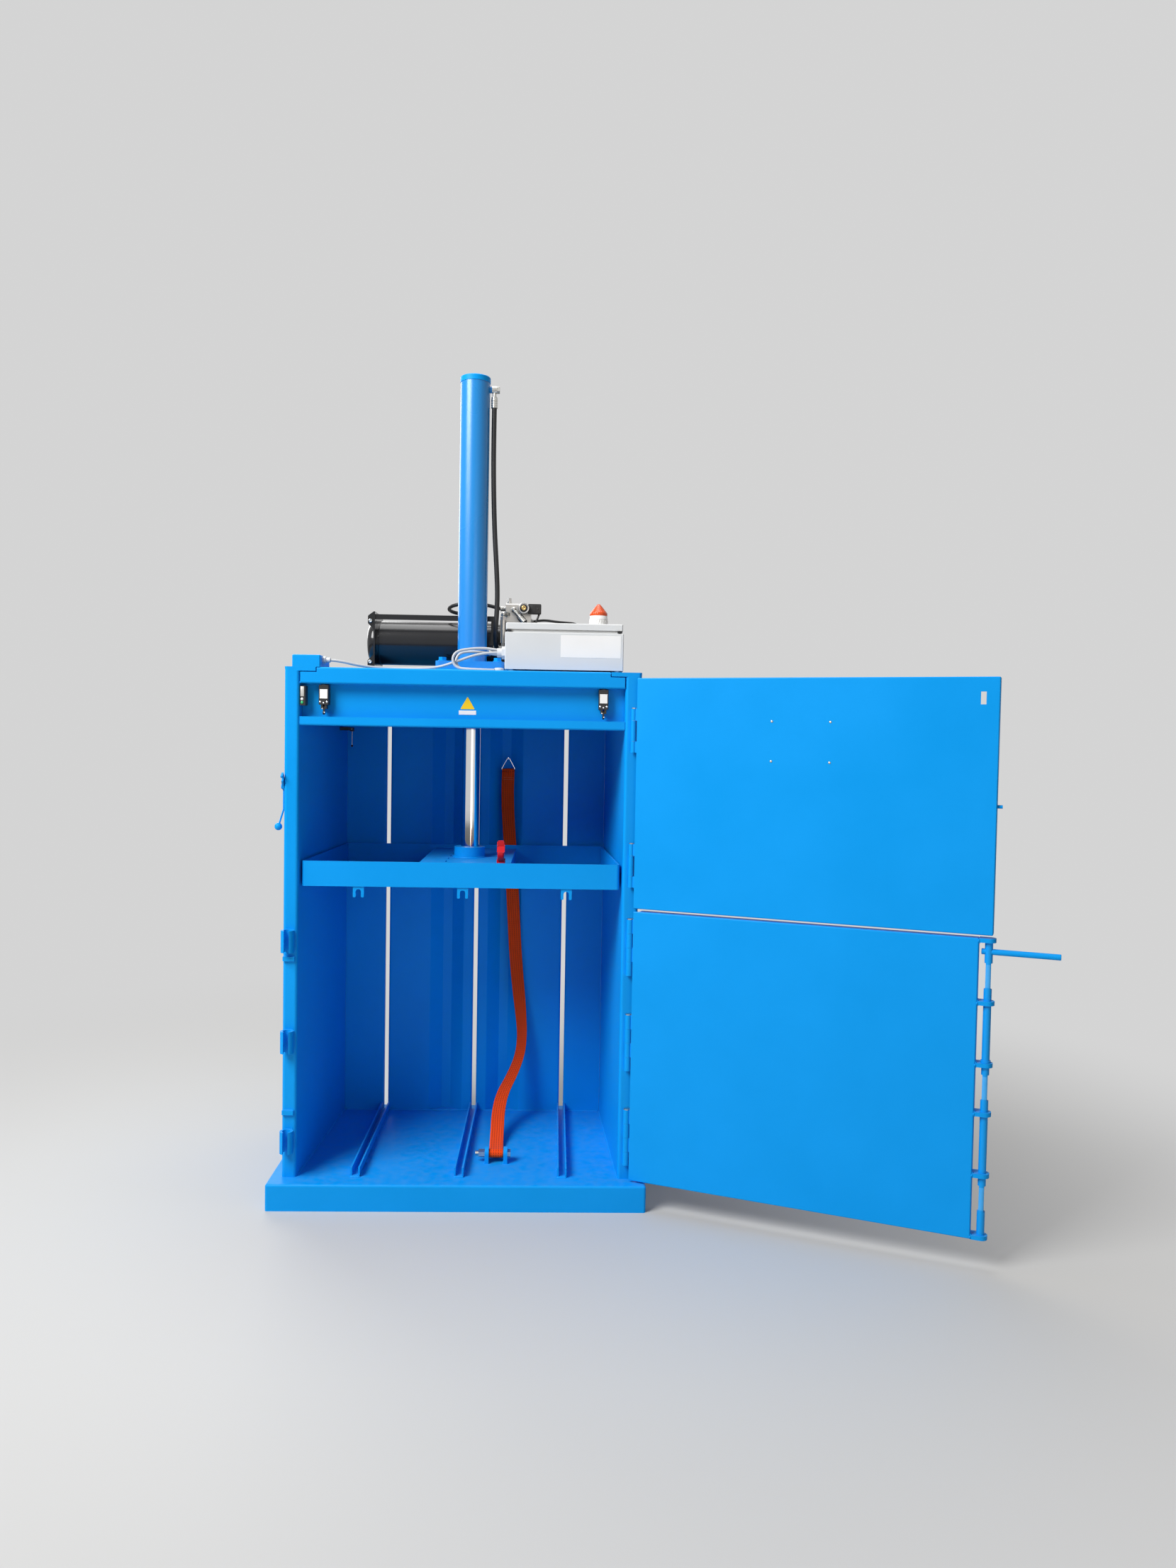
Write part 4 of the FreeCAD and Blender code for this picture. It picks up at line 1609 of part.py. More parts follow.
def side_latch():
    """Latch plate with a claw, and the bent arm that ends in a ball."""
    a = latch_axis()
    x0 = a.x - LIFT_GAP - 6
    reach = HINGE_OUT + BAR_OUT - 3 + LATCH_BACK
    hub = bar(12.0, V(x0, a.y, a.z), X_DIR, 6)
    drop = STRIKER_LEVEL - LATCH_LEVEL + 1
    room = STRIKER_RADIUS + 1.5
    claw = block(x0, x0 + 6, -reach - room - 6, 0, drop - 6, drop + room + 8)
    notch = block(x0 - 1, x0 + 7, -reach - room, -reach + room, drop - 7, drop)
    claw = claw.cut(notch).cut(bar(room, V(x0 - 1, -reach, drop), X_DIR, 8))
    claw.rotate(V(0, 0, 0), X_DIR, -LATCH_SWING)
    claw.translate(V(0, a.y, a.z))
    elbow = V(x0 + 3, a.y, a.z - LATCH_ELBOW)
    tip = V(x0 - 15, a.y + 6, a.z - LATCH_ARM)
    lean = (tip - elbow).normalize()
    upper = bar(LATCH_ROD, V(x0 + 3, a.y, a.z - 8), -Z_DIR, LATCH_ELBOW - 8)
    lower = bar(LATCH_ROD, elbow, lean, (tip - elbow).Length)
    joint = Part.makeSphere(LATCH_ROD + 0.4, elbow, lean)
    arm = [upper, joint, lower, Part.makeSphere(BALL_RADIUS, tip, lean)]
    bore = bar(5.0 + RUNNING, a - X_DIR * 20, X_DIR, 40)
    return join(hub, claw, *arm).cut(bore)


# ---------------------------------------------------------------- all pieces


def all_pieces():
    """Every piece of the baler, by name."""
    pieces = {
        "base_tray": base_tray(),
        "base_ribs": base_ribs(),
        "left_side_wall": side_wall(-1),
        "right_side_wall": side_wall(1),
        "wall_stiffeners": Part.makeCompound(side_stiffeners(-1).Solids + side_stiffeners(1).Solids),
        "back_panels": Part.makeCompound(back_panels()),
        "floor_channels": Part.makeCompound(floor_channels()),
        "roof_plate": roof_plate(),
        "roof_channels": roof_channels(),
        "front_beam": front_beam(),
        "lock_hooks": Part.makeCompound([lock_hook(level) for level in HOOK_LEVELS]),
        "post_fittings": Part.makeCompound(door_stops().Solids + [latch_stud()]),
        "frame_knuckles": Part.makeCompound(
            frame_knuckles(UPPER_HINGES, UPPER_KNUCKLES, UPPER_BARREL, (1,)).Solids
            + frame_knuckles(LOWER_HINGES, LOWER_KNUCKLES, LOWER_BARREL, (0, 2)).Solids),
        "hinge_pins": Part.makeCompound(
            hinge_pins(UPPER_HINGES, UPPER_KNUCKLES, UPPER_BARREL).Solids
            + hinge_pins(LOWER_HINGES, LOWER_KNUCKLES, LOWER_BARREL).Solids),
        "upper_door_panel": upper_door_panel(),
        "upper_door_ribs": door_ribs(UPPER_BOTTOM, UPPER_TOP, UPPER_REACH, (1150.0, 1330.0, 1500.0)),
        "upper_door_knuckles": door_knuckles(UPPER_HINGES, UPPER_KNUCKLES, UPPER_BARREL, (0, 2)),
        "upper_door_fittings": Part.makeCompound([door_handle(), door_striker()] + door_rivets().Solids),
        "lower_door_panel": on_door(door_pan(LOWER_REACH, LOWER_BOTTOM, LOWER_TOP)),
        "lower_door_ribs": door_ribs(LOWER_BOTTOM, LOWER_TOP, LOWER_REACH, (207.0, 427.0, 637.0, 847.0)),
        "lower_door_knuckles": door_knuckles(LOWER_HINGES, LOWER_KNUCKLES, LOWER_BARREL, (1, 3)),
        "lock_lugs": lock_lugs(),
        "lock_bar": lock_bar(),
        "lock_handle": lock_handle(),
        "cylinder_tube": join(cylinder_tube(), cylinder_flange()),
        "cylinder_ends": Part.makeCompound([cylinder_cap(), rod_gland()]),
        "cylinder_seat": cylinder_seat(),
        "flange_bolts": flange_bolts(),
        "piston_rod": Part.makeCompound([piston(), piston_rod()]),
        "platen": join(platen_body(), *platen_forks().Solids),
        "ejection_hook": ejection_hook(),
        "hook_latch": hook_latch(),
        "strap_lugs": strap_lugs(),
        "strap_bolt": Part.makeCompound([strap_bolt(), strap_nut(), strap_sleeve()]),
        "ejection_strap": ejection_strap(),
        "strap_ring": Part.makeCompound([strap_ring(), ring_hook()]),
        "oil_tank": oil_tank(),
        "pack_frame": Part.makeCompound([tank_bracket(), pack_rail()] + rail_bolts()),
        "pump_body": pump_body(),
        "electric_motor": Part.makeCompound([electric_motor(), fan_cover()]),
        "valve_block": valve_block(),
        "solenoid_valve": Part.makeCompound([solenoid_coil(), valve_connector()]),
        "hydraulic_fittings": Part.makeCompound([cap_fitting(), lower_fitting(), check_valve()]
                                                + pump_fittings().Solids),
        "pressure_hose": along(route(PRESSURE_ROUTE), PRESSURE_DIAMETER, "pressure_hose"),
        "rod_side_hose": along(route(ROD_SIDE_ROUTE), PRESSURE_DIAMETER, "rod_side_hose"),
        "return_hose": along(route(RETURN_ROUTE), RETURN_DIAMETER, "return_hose"),
        "enclosure_body": enclosure_body(),
        "enclosure_lid": enclosure_lid(),
        "beacon": Part.makeCompound([beacon_base(), beacon_lens()]),
        "lid_fittings": Part.makeCompound(lid_hinges(False) + [lid_lock(x, y) for x, y in lid_lock_places()]),
        "enclosure_hinges": Part.makeCompound(lid_hinges(True)),
        "cable_glands": Part.makeCompound([cable_gland(), small_gland(), cable_grommet()] + rear_glands()),
        "electric_cables": Part.makeCompound([
            along(route(INTERLOCK_CABLE), CABLE_DIAMETER, "interlock_cable"),
            along(route(SWITCH_CABLE_ONE), CABLE_DIAMETER, "switch_cable_one"),
            along(route(SWITCH_CABLE_TWO), CABLE_DIAMETER, "switch_cable_two"),
            along(route(COIL_CABLE), CABLE_DIAMETER - 2, "coil_cable"),
            along(route(SENSOR_CABLE), CABLE_DIAMETER, "sensor_cable")]),
        "interlock_box": interlock_box(),
        "position_switches": Part.makeCompound([limit_switch(x) for x in SWITCH_PLACES.values()]
                                               + [interlock_switch(), wand_switch()]),
        "left_roller_lever": roller_lever(SWITCH_PLACES["left"]),
        "right_roller_lever": roller_lever(SWITCH_PLACES["right"]),
        "switch_wand": switch_wand(),
        "side_latch": side_latch(),
    }
    return pieces


if __name__ == "__main__":
    for name, shape in all_pieces().items():
        shape.exportStep("parts/" + name + ".step")
        print(name, len(shape.Solids), shape.isValid(), [round(c) for c in (
            shape.BoundBox.XMin, shape.BoundBox.XMax, shape.BoundBox.YMin, shape.BoundBox.YMax,
            shape.BoundBox.ZMin, shape.BoundBox.ZMax)])
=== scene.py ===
# %% [markdown]
# # A vertical recycling baler
#
# A tall press with an open chamber, two doors hung on the right, a platen on a hydraulic cylinder, and its
# power pack and control box on the roof. The solid model already holds every main shape, so this file
# dresses it: finishes, cords, webbing, welds and small fasteners.

# %% Load the solid model
import math
import random

import bmesh
import bpy
from mathutils import Matrix, Vector


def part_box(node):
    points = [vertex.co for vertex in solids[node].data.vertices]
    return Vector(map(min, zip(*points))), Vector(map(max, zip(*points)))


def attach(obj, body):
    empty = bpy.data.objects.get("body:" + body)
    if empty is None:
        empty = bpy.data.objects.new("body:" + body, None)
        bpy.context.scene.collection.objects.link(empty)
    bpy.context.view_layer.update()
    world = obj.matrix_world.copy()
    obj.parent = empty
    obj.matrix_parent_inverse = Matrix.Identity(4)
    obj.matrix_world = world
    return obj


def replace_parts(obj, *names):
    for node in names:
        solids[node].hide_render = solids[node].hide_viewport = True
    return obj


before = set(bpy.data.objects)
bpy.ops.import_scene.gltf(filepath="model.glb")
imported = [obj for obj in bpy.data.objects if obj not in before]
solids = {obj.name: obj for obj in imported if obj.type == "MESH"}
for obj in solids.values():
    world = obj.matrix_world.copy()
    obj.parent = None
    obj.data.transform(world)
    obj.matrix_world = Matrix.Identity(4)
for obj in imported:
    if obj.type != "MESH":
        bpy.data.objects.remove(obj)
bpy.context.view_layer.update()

# %% [markdown]
# ## The camera
#
# The photograph was taken from in front, a little to the right of the machine's middle, at chest height.
# The lens was recovered from known sizes, so a point of the model lands on its own pixel. A Blender camera
# looks along its own -Z axis, so its rotation is built from its right, up and backward directions.

# %% Place the camera
LENS_TURN, LENS_DIP, LENS_ROLL = -0.0299, 0.0399, 0.0169
LENS_PLACE, LENS_LENGTH, SENSOR_WIDTH = (0.2876, -3.9652, 1.5011), 26.28, 36.0


def add_object(name, data):
    """A new object in the scene with this data."""
    thing = bpy.data.objects.new(name, data)
    bpy.context.scene.collection.objects.link(thing)
    return thing


along_y = Matrix(((1, 0, 0), (0, 0, -1), (0, 1, 0)))      # a lens that looks along +Y
dipped = Matrix.Rotation(LENS_DIP, 3, "X") @ along_y @ Matrix.Rotation(-LENS_TURN, 3, "Z")
right, down, ahead = Matrix.Rotation(LENS_ROLL, 3, "Z") @ dipped
lens_rotation = Matrix((right, -down, -ahead)).transposed()
camera = add_object("Camera", bpy.data.cameras.new("Camera"))
camera.matrix_world = Matrix.Translation(LENS_PLACE) @ lens_rotation.to_4x4()
camera.data.sensor_width = SENSOR_WIDTH
camera.data.lens = LENS_LENGTH
bpy.context.scene.camera = camera
print("camera at", LENS_PLACE, "lens", LENS_LENGTH)

# %% [markdown]
# ## Small tools for making pieces
#
# Most pieces are meshes made in code. One helper turns a bmesh into an object that rides on a body of the
# model, so that it moves with it in every pose. Lengths are in millimetres, and the helpers bring them to
# metres.

# %% Helpers for meshes
MM = 0.001
FRONT = -338.0                      # the posts' front plane, in the model's frame
FORWARD, UPWARD, SIDEWAYS = Vector((0, -1, 0)), Vector((0, 0, 1)), Vector((1, 0, 0))
materials = {}


def at(x, y, z):
    """A point in metres from millimetres."""
    return Vector((x, y, z)) * MM


def behind(x, depth, z):
    """A point by its distance behind the posts' front plane."""
    return at(x, FRONT + depth, z)


def piece(name, shape, body, material, slot=None, smooth=True):
    """An object from a finished bmesh, which is freed; it rides on a body and wears one material."""
    mesh = bpy.data.meshes.new(name)
    bmesh.ops.recalc_face_normals(shape, faces=shape.faces)
    shape.to_mesh(mesh)
    shape.free()
    for face in mesh.polygons:
        face.use_smooth = smooth
    mesh.materials.append(materials[material])
    thing = add_object(name, mesh)
    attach(thing, body)
    return thing


# %% [markdown]
# ## Wiring nodes
#
# The world, the floor and every finish are built from shader nodes. These helpers add a node with its
# values, link two sockets, do a step of arithmetic or mix two shaders.

# %% Helpers for nodes
def wire(tree, start, end):
    """One link."""
    tree.links.new(start, end)


def fill(node, **values):
    """A node with these values on its inputs; an underscore stands for a space."""
    for label, value in values.items():
        node.inputs[label.replace("_", " ")].default_value = value
    return node


def add_node(tree, kind, **values):
    """A new shader node of this kind."""
    return fill(tree.nodes.new("ShaderNode" + kind), **values)


def maths(tree, operation, first, second=None, clamp=False):
    """A Math node; a number is set on it and a socket is linked to it."""
    node = add_node(tree, "Math")
    node.operation, node.use_clamp = operation, clamp
    for socket, value in zip(node.inputs, (first, second)):
        if isinstance(value, (int, float)):
            socket.default_value = value
        elif value is not None:
            wire(tree, value, socket)
    return node.outputs[0]


def mix_shaders(tree, factor, first, second, output):
    """Two shaders, mixed by a factor and wired to the output node."""
    mix = add_node(tree, "MixShader")
    for socket, value in zip(mix.inputs, (factor, first.outputs[0], second.outputs[0])):
        wire(tree, value, socket)
    wire(tree, mix.outputs[0], output.inputs[0])


# %% [markdown]
# ## The studio
#
# A large soft lamp stands high in front on the left, where the daylight comes from. A weak warm one low on
# the right opens the shadows, one above lights the roof and one behind draws the edges.

# %% Lamps
LAMPS = {                           # place, target, size in metres, watts, colour
    "Key lamp": ((-3.5, -3.4, 5.2), (0.2, 0.0, 0.9), 3.2, 500, (1, 1, 1)),
    "Fill lamp": ((1.8, -5.0, 1.8), (0.2, 0.2, 0.8), 2.4, 22, (1.0, 0.86, 0.72)),
    "Top lamp": ((0.2, 0.5, 5.4), (0.2, 0.1, 0.0), 2.6, 80, (1, 1, 1)),
    "Rear lamp": ((-2.5, 4.6, 3.8), (0.0, 0.2, 1.2), 3.0, 90, (1, 1, 1)),
}
for name, (place, target, size, power, colour) in LAMPS.items():
    lamp = add_object(name, bpy.data.lights.new(name, "AREA"))
    lamp.location = place
    lamp.rotation_euler = (Vector(target) - Vector(place)).to_track_quat("-Z", "Y").to_euler()
    lamp.data.size, lamp.data.energy, lamp.data.color = size, power, colour
    lamp.visible_camera = False
print("lamps:", len(LAMPS))

# %% [markdown]
# The camera and reflections see a light grey backdrop, while the light that falls on the machine is much
# weaker and slightly warm. A mix that asks what kind of ray arrives keeps the two apart.

# %% World
BACKDROP = (0.66, 0.66, 0.66, 1)
world = bpy.data.worlds.new("Studio")
bpy.context.scene.world = world
world.use_nodes = True
sky = world.node_tree
sky.nodes.clear()
lit = add_node(sky, "Background", Color=(1.0, 0.93, 0.86, 1), Strength=0.12)
seen = add_node(sky, "Background", Color=BACKDROP)
ray = add_node(sky, "LightPath").outputs
mix_shaders(sky, maths(sky, "MAXIMUM", ray["Is Camera Ray"], ray["Is Glossy Ray"]), lit, seen,
            add_node(sky, "OutputWorld"))

# %% [markdown]
# The floor is a plain pale disc. Near the machine it is matt and takes the shadow. Further out it fades,
# for the camera alone, into the colour of the backdrop, so that no horizon shows.

# %% Floor
HAZE_START, HAZE_FULL = 0.9, 3.6      # metres from the machine's middle
disc = bmesh.new()
bmesh.ops.create_circle(disc, cap_ends=True, radius=16.0, segments=96)
floor_mesh = bpy.data.meshes.new("Floor")
disc.to_mesh(floor_mesh)
disc.free()
floor_paint = bpy.data.materials.new("Floor")
floor_paint.use_nodes = True
ground = floor_paint.node_tree
matt = fill(ground.nodes["Principled BSDF"], Base_Color=(0.55, 0.55, 0.54, 1), Roughness=0.7)
away = add_node(ground, "VectorMath")
away.operation = "LENGTH"
wire(ground, add_node(ground, "TexCoord").outputs["Object"], away.inputs[0])
fade = add_node(ground, "MapRange", From_Min=HAZE_START, From_Max=HAZE_FULL)
fade.interpolation_type = "SMOOTHSTEP"
wire(ground, away.outputs["Value"], fade.inputs["Value"])
by_eye = add_node(ground, "LightPath").outputs["Is Camera Ray"]
mix_shaders(ground, maths(ground, "MULTIPLY", by_eye, fade.outputs["Result"]), matt,
            add_node(ground, "Emission", Color=BACKDROP), ground.nodes["Material Output"])
floor_mesh.materials.append(floor_paint)
add_object("Floor", floor_mesh)
bpy.context.scene.view_settings.view_transform = "Standard"

# %% [markdown]
# ## Finishes
#
# A finish is a Principled shader whose colour, roughness and bump change over the surface. Effects that
# several finishes share are node groups, which put out masks and heights only.

# %% A builder for node groups
def group(name, inputs, outputs):
    """An empty node group with named number inputs and outputs."""
    made = bpy.data.node_groups.new(name, "ShaderNodeTree")
    for label, value in inputs.items():
        socket = made.interface.new_socket(label, in_out="INPUT", socket_type="NodeSocketFloat")
        socket.default_value = value
    for label in outputs:
        made.interface.new_socket(label, in_out="OUTPUT", socket_type="NodeSocketFloat")
    return made, made.nodes.new("NodeGroupInput").outputs, made.nodes.new("NodeGroupOutput").inputs


def noise(tree, scale, detail=2.0, stretch=None):
    """Noise over the model's own coordinates, in cycles per metre, and drawn out where stretch is given."""
    place = add_node(tree, "TexCoord").outputs["Object"]
    if stretch:
        drawn = add_node(tree, "Mapping", Scale=stretch)
        wire(tree, place, drawn.inputs["Vector"])
        place = drawn.outputs["Vector"]
    node = add_node(tree, "TexNoise", Detail=detail)
    wire(tree, place, node.inputs["Vector"])
    if isinstance(scale, (int, float)):
        node.inputs["Scale"].default_value = scale
    else:
        wire(tree, scale, node.inputs["Scale"])
    return node.outputs["Fac"]


def above(tree, value, level, gain):
    """A mask that is 0 up to a level and then rises to 1 with this gain."""
    return maths(tree, "MULTIPLY", maths(tree, "SUBTRACT", value, level, clamp=True), gain, clamp=True)


def swing(tree, wave, length, pitch):
    """A sine or cosine that comes back at each pitch along a length."""
    return maths(tree, wave, maths(tree, "MULTIPLY", maths(tree, "DIVIDE", length, pitch), 2 * math.pi))


# %% [markdown]
# A sprayed film ripples like orange peel and has lighter and darker fields. Dust settles only on what faces
# up, so its mask starts from the upward part of the normal and is broken by noise.

# %% Sprayed film and dust
film, film_in, film_out = group("Sprayed film", {"Peel Scale": 420.0}, ["Peel", "Mottle"])
wire(film, noise(film, film_in["Peel Scale"], 1.0), film_out["Peel"])
wire(film, noise(film, 3.5, 3.0), film_out["Mottle"])

dust, dust_in, dust_out = group("Dust", {"Cover": 0.3}, ["Mask"])
facing = add_node(dust, "SeparateXYZ")
wire(dust, add_node(dust, "NewGeometry").outputs["Normal"], facing.inputs[0])
upward = above(dust, facing.outputs["Z"], 0.55, 2.2)
fall = maths(dust, "MULTIPLY", upward, above(dust, noise(dust, 38.0, 6.0), 0.35, 2.2))
wire(dust, maths(dust, "MULTIPLY", fall, dust_in["Cover"], clamp=True), dust_out["Mask"])

# %% [markdown]
# Paint rubs thin along edges, and on the blue paints the lighter edge colour is also a painted highlight
# where rounded edges catch the light. A Bevel node turns the normal near an edge without changing the mesh,
# so where it and the true normal disagree, there is an edge. Noise breaks the line up.

# %% Edge wear and painted edge light
edge_wear_and_light, edge_in, edge_out = group("Edge wear and light", {"Width": 0.0015, "Amount": 0.5}, ["Mask"])
rounded, agree = add_node(edge_wear_and_light, "Bevel"), add_node(edge_wear_and_light, "VectorMath")
rounded.samples = 4
agree.operation = "DOT_PRODUCT"
wire(edge_wear_and_light, edge_in["Width"], rounded.inputs["Radius"])
wire(edge_wear_and_light, rounded.outputs["Normal"], agree.inputs[0])
wire(edge_wear_and_light, add_node(edge_wear_and_light, "NewGeometry").outputs["Normal"], agree.inputs[1])
edge_spots = maths(edge_wear_and_light, "MULTIPLY", above(edge_wear_and_light, 0.995, agree.outputs["Value"], 6.0),
             above(edge_wear_and_light, noise(edge_wear_and_light, 55.0, 5.0), 0.42, 5.0))
wire(edge_wear_and_light, maths(edge_wear_and_light, "MULTIPLY", edge_spots, edge_in["Amount"], clamp=True), edge_out["Mask"])

# %% [markdown]
# Turned and ground metal keeps fine lines from the tool: noise that is drawn out sideways.

# %% Tool lines
lines, lines_in, lines_out = group("Tool lines", {"Scale": 900.0}, ["Height", "Streak"])
wire(lines, noise(lines, lines_in["Scale"], 2.0, (0.05, 0.05, 1.0)), lines_out["Height"])
wire(lines, noise(lines, 60.0, 4.0, (0.2, 0.2, 1.0)), lines_out["Streak"])

# %% [markdown]
# The webbing has five columns of darker dashes and slanting yarns, worked out from the ribbon's own
# coordinates: across it and along it, in metres.

# %% Weave of the webbing
HALF_WEB, DASHED_HALF = 0.0235, 0.0195    # half the webbing, and the part of it that has dashes
weave, weave_in, weave_out = group(
    "Webbing weave", {"Column Pitch": 0.0081, "Dash Pitch": 0.0077, "Yarn Pitch": 0.0018}, ["Dash", "Height"])
band, split = add_node(weave, "UVMap"), add_node(weave, "SeparateXYZ")
band.uv_map = "Webbing"
wire(weave, band.outputs["UV"], split.inputs[0])
off_centre, along = maths(weave, "SUBTRACT", split.outputs["X"], HALF_WEB), split.outputs["Y"]
to_edge = maths(weave, "ABSOLUTE", off_centre)
column = above(weave, swing(weave, "COSINE", off_centre, weave_in["Column Pitch"]), 0.5, 4.0)
grooves = maths(weave, "MULTIPLY", column, above(weave, DASHED_HALF, to_edge, 2000.0))
woven = above(weave, swing(weave, "SINE", along, weave_in["Dash Pitch"]), -0.3, 3.0)
wire(weave, maths(weave, "MULTIPLY", grooves, woven), weave_out["Dash"])
slant = maths(weave, "ADD", along, maths(weave, "MULTIPLY", to_edge, 0.7))
yarn = maths(weave, "MULTIPLY", swing(weave, "SINE", slant, weave_in["Yarn Pitch"]), 0.3)
wire(weave, maths(weave, "SUBTRACT", yarn, grooves), weave_out["Height"])

# %% [markdown]
# The lock bar's flats, where the three hooks hold it, are painted a lighter blue as a highlight. The hooks
# stand at one pitch, so the mask finds the nearest one to each height and fills a band about it.

# %% Painted shine bands
shine_bands, shine_in, shine_out = group(
    "Painted shine bands", {"First": 0.207, "Pitch": 0.32, "Half Height": 0.034}, ["Mask"])
level_of = add_node(shine_bands, "SeparateXYZ")
wire(shine_bands, add_node(shine_bands, "TexCoord").outputs["Object"], level_of.inputs[0])
steps_up = maths(shine_bands, "DIVIDE", maths(shine_bands, "SUBTRACT", level_of.outputs["Z"], shine_in["First"]),
                 shine_in["Pitch"])
apart = maths(shine_bands, "ABSOLUTE", maths(shine_bands, "SUBTRACT", steps_up, maths(shine_bands, "ROUND", steps_up)))
flat_shine = above(shine_bands, shine_in["Half Height"], maths(shine_bands, "MULTIPLY", apart, shine_in["Pitch"]), 400.0)
patchy = maths(shine_bands, "ADD", 0.55, maths(shine_bands, "MULTIPLY", noise(shine_bands, 90.0, 4.0), 0.6), clamp=True)
wire(shine_bands, maths(shine_bands, "MULTIPLY", flat_shine, patchy), shine_out["Mask"])

# %% [markdown]
# Every finish starts from one Principled shader. Its constants sit on its own sockets, where the export
# reads them.

# %% A builder for finishes
def finish(name, colour, roughness, metallic=0.0, coat=0.0, coat_roughness=0.1, sheen=0.0, specular=0.5):
    """A material with one Principled shader; its constants sit on its own sockets."""
    material = bpy.data.materials.new(name)
    material.use_nodes = True
    shader = fill(material.node_tree.nodes["Principled BSDF"], Base_Color=(*colour, 1), Roughness=roughness,
                  Metallic=metallic, Coat_Weight=coat, Coat_Roughness=coat_roughness, Sheen_Weight=sheen,
                  Specular_IOR_Level=specular)
    materials[name] = material
    return material.node_tree, shader


def use(tree, made, **values):
    """A shared group inside a material, with this material's own values."""
    node = add_node(tree, "Group")
    node.node_tree = made
    return fill(node, **values).outputs


def blend_colour(tree, factor, first, second):
    """A colour mix; each colour is a tuple or a socket."""
    node = add_node(tree, "Mix")
    node.data_type = "RGBA"
    wire(tree, factor, node.inputs["Factor"])
    for socket, value in ((node.inputs[6], first), (node.inputs[7], second)):
        if isinstance(value, tuple):
            socket.default_value = (*value, 1)
        else:
            wire(tree, value, socket)
    return node.outputs[2]


def spread(tree, factor, low, high):
    """A mask's 0 to 1 mapped onto a range."""
    node = add_node(tree, "MapRange", To_Min=low, To_Max=high)
    wire(tree, factor, node.inputs["Value"])
    return node.outputs["Result"]


def bump(tree, shader, height, strength, distance):
    """Relief from a height mask."""
    node = add_node(tree, "Bump", Strength=strength, Distance=distance)
    wire(tree, height, node.inputs["Height"])
    wire(tree, node.outputs["Normal"], shader.inputs["Normal"])


# %% [markdown]
# ### Painted steel
#
# The frame is sprayed in one bright blue, with some dust on its upper faces. The tank, the pump and the end
# bracket have the same film in gloss black.

# %% Paints
# The lighter edge blue is partly rubbed paint and partly a painted highlight where edges catch the light.
# The shine blue is a painted highlight on the lock bar's flats.
BLUE, WORN_AND_LIT_EDGE_BLUE, SHINE_BLUE = (0.0, 0.315, 0.83), (0.08, 0.42, 0.9), (0.07, 0.42, 0.9)
DUST_COLOUR = (0.42, 0.4, 0.37)


def paint(name, colour, roughness, edge_colour, coat=0.0, ripple=420.0, relief=0.0002, dust_cover=0.1,
          edge_amount=0.35, specular=0.5, shine_on_bar=False):
    """A sprayed finish with ripple, mottling, dust, and an edge colour for rubbed paint that on the blues is
    also a painted highlight.
    """
    tree, shader = finish(name, colour, roughness, coat=coat, coat_roughness=0.16, specular=specular)
    skin = use(tree, film, Peel_Scale=ripple)
    edge_mark = use(tree, edge_wear_and_light, Amount=edge_amount)["Mask"]
    dusty = use(tree, dust, Cover=dust_cover)["Mask"]
    lighter = tuple(min(c * 1.07 + 0.004, 1.0) for c in colour)
    darker = tuple(c * 0.93 for c in colour)
    base = blend_colour(tree, skin["Mottle"], darker, lighter)
    # Edges take the edge colour: rubbed paint, and on the blues a painted highlight as well.
    base = blend_colour(tree, edge_mark, base, edge_colour)
    # On the lock bar, bands of painted highlight lie on the flats at the hooks.
    if shine_on_bar:
        base = blend_colour(tree, use(tree, shine_bands)["Mask"], base, SHINE_BLUE)
    wire(tree, blend_colour(tree, dusty, base, DUST_COLOUR), shader.inputs["Base Color"])
    rough = maths(tree, "ADD", spread(tree, skin["Mottle"], roughness - 0.05, roughness + 0.06),
                  maths(tree, "MULTIPLY", dusty, 0.5), clamp=True)
    wire(tree, rough, shader.inputs["Roughness"])
    bump(tree, shader, skin["Peel"], 0.35, relief)


paint("blue_paint", BLUE, 0.4, WORN_AND_LIT_EDGE_BLUE, relief=0.00025, specular=0.12)
paint("cylinder_paint", (0.0, 0.24, 0.66), 0.27, WORN_AND_LIT_EDGE_BLUE, specular=0.7)
paint("bar_paint", BLUE, 0.4, WORN_AND_LIT_EDGE_BLUE, relief=0.00025, edge_amount=0.5, specular=0.25, shine_on_bar=True)
paint("black_paint", (0.008, 0.008, 0.009), 0.17, (0.09, 0.09, 0.1), coat=0.25, ripple=260.0,
      dust_cover=0.08, edge_amount=0.25, specular=0.4)
paint("motor_paint", (0.035, 0.037, 0.04), 0.42, (0.2, 0.2, 0.2), coat=0.1, ripple=380.0, relief=0.0003,
      dust_cover=0.35, edge_amount=0.3)
paint("grey_enamel", (0.68, 0.7, 0.71), 0.42, (0.85, 0.85, 0.85), coat=0.05, ripple=900.0, relief=0.0003,
      dust_cover=0.2, edge_amount=0.15)
paint("red_paint", (0.6, 0.004, 0.014), 0.3, (0.3, 0.3, 0.3), ripple=500.0, dust_cover=0.05,
      edge_amount=0.5, specular=0.35)
print("paints:", len(materials))

# %% [markdown]
# ### Metals
#
# The piston rod is hard chrome and nearly a mirror. Screws and hose ends are zinc plated, a softer and
# slightly yellow white. The valve block is cut from aluminium and bead blasted.

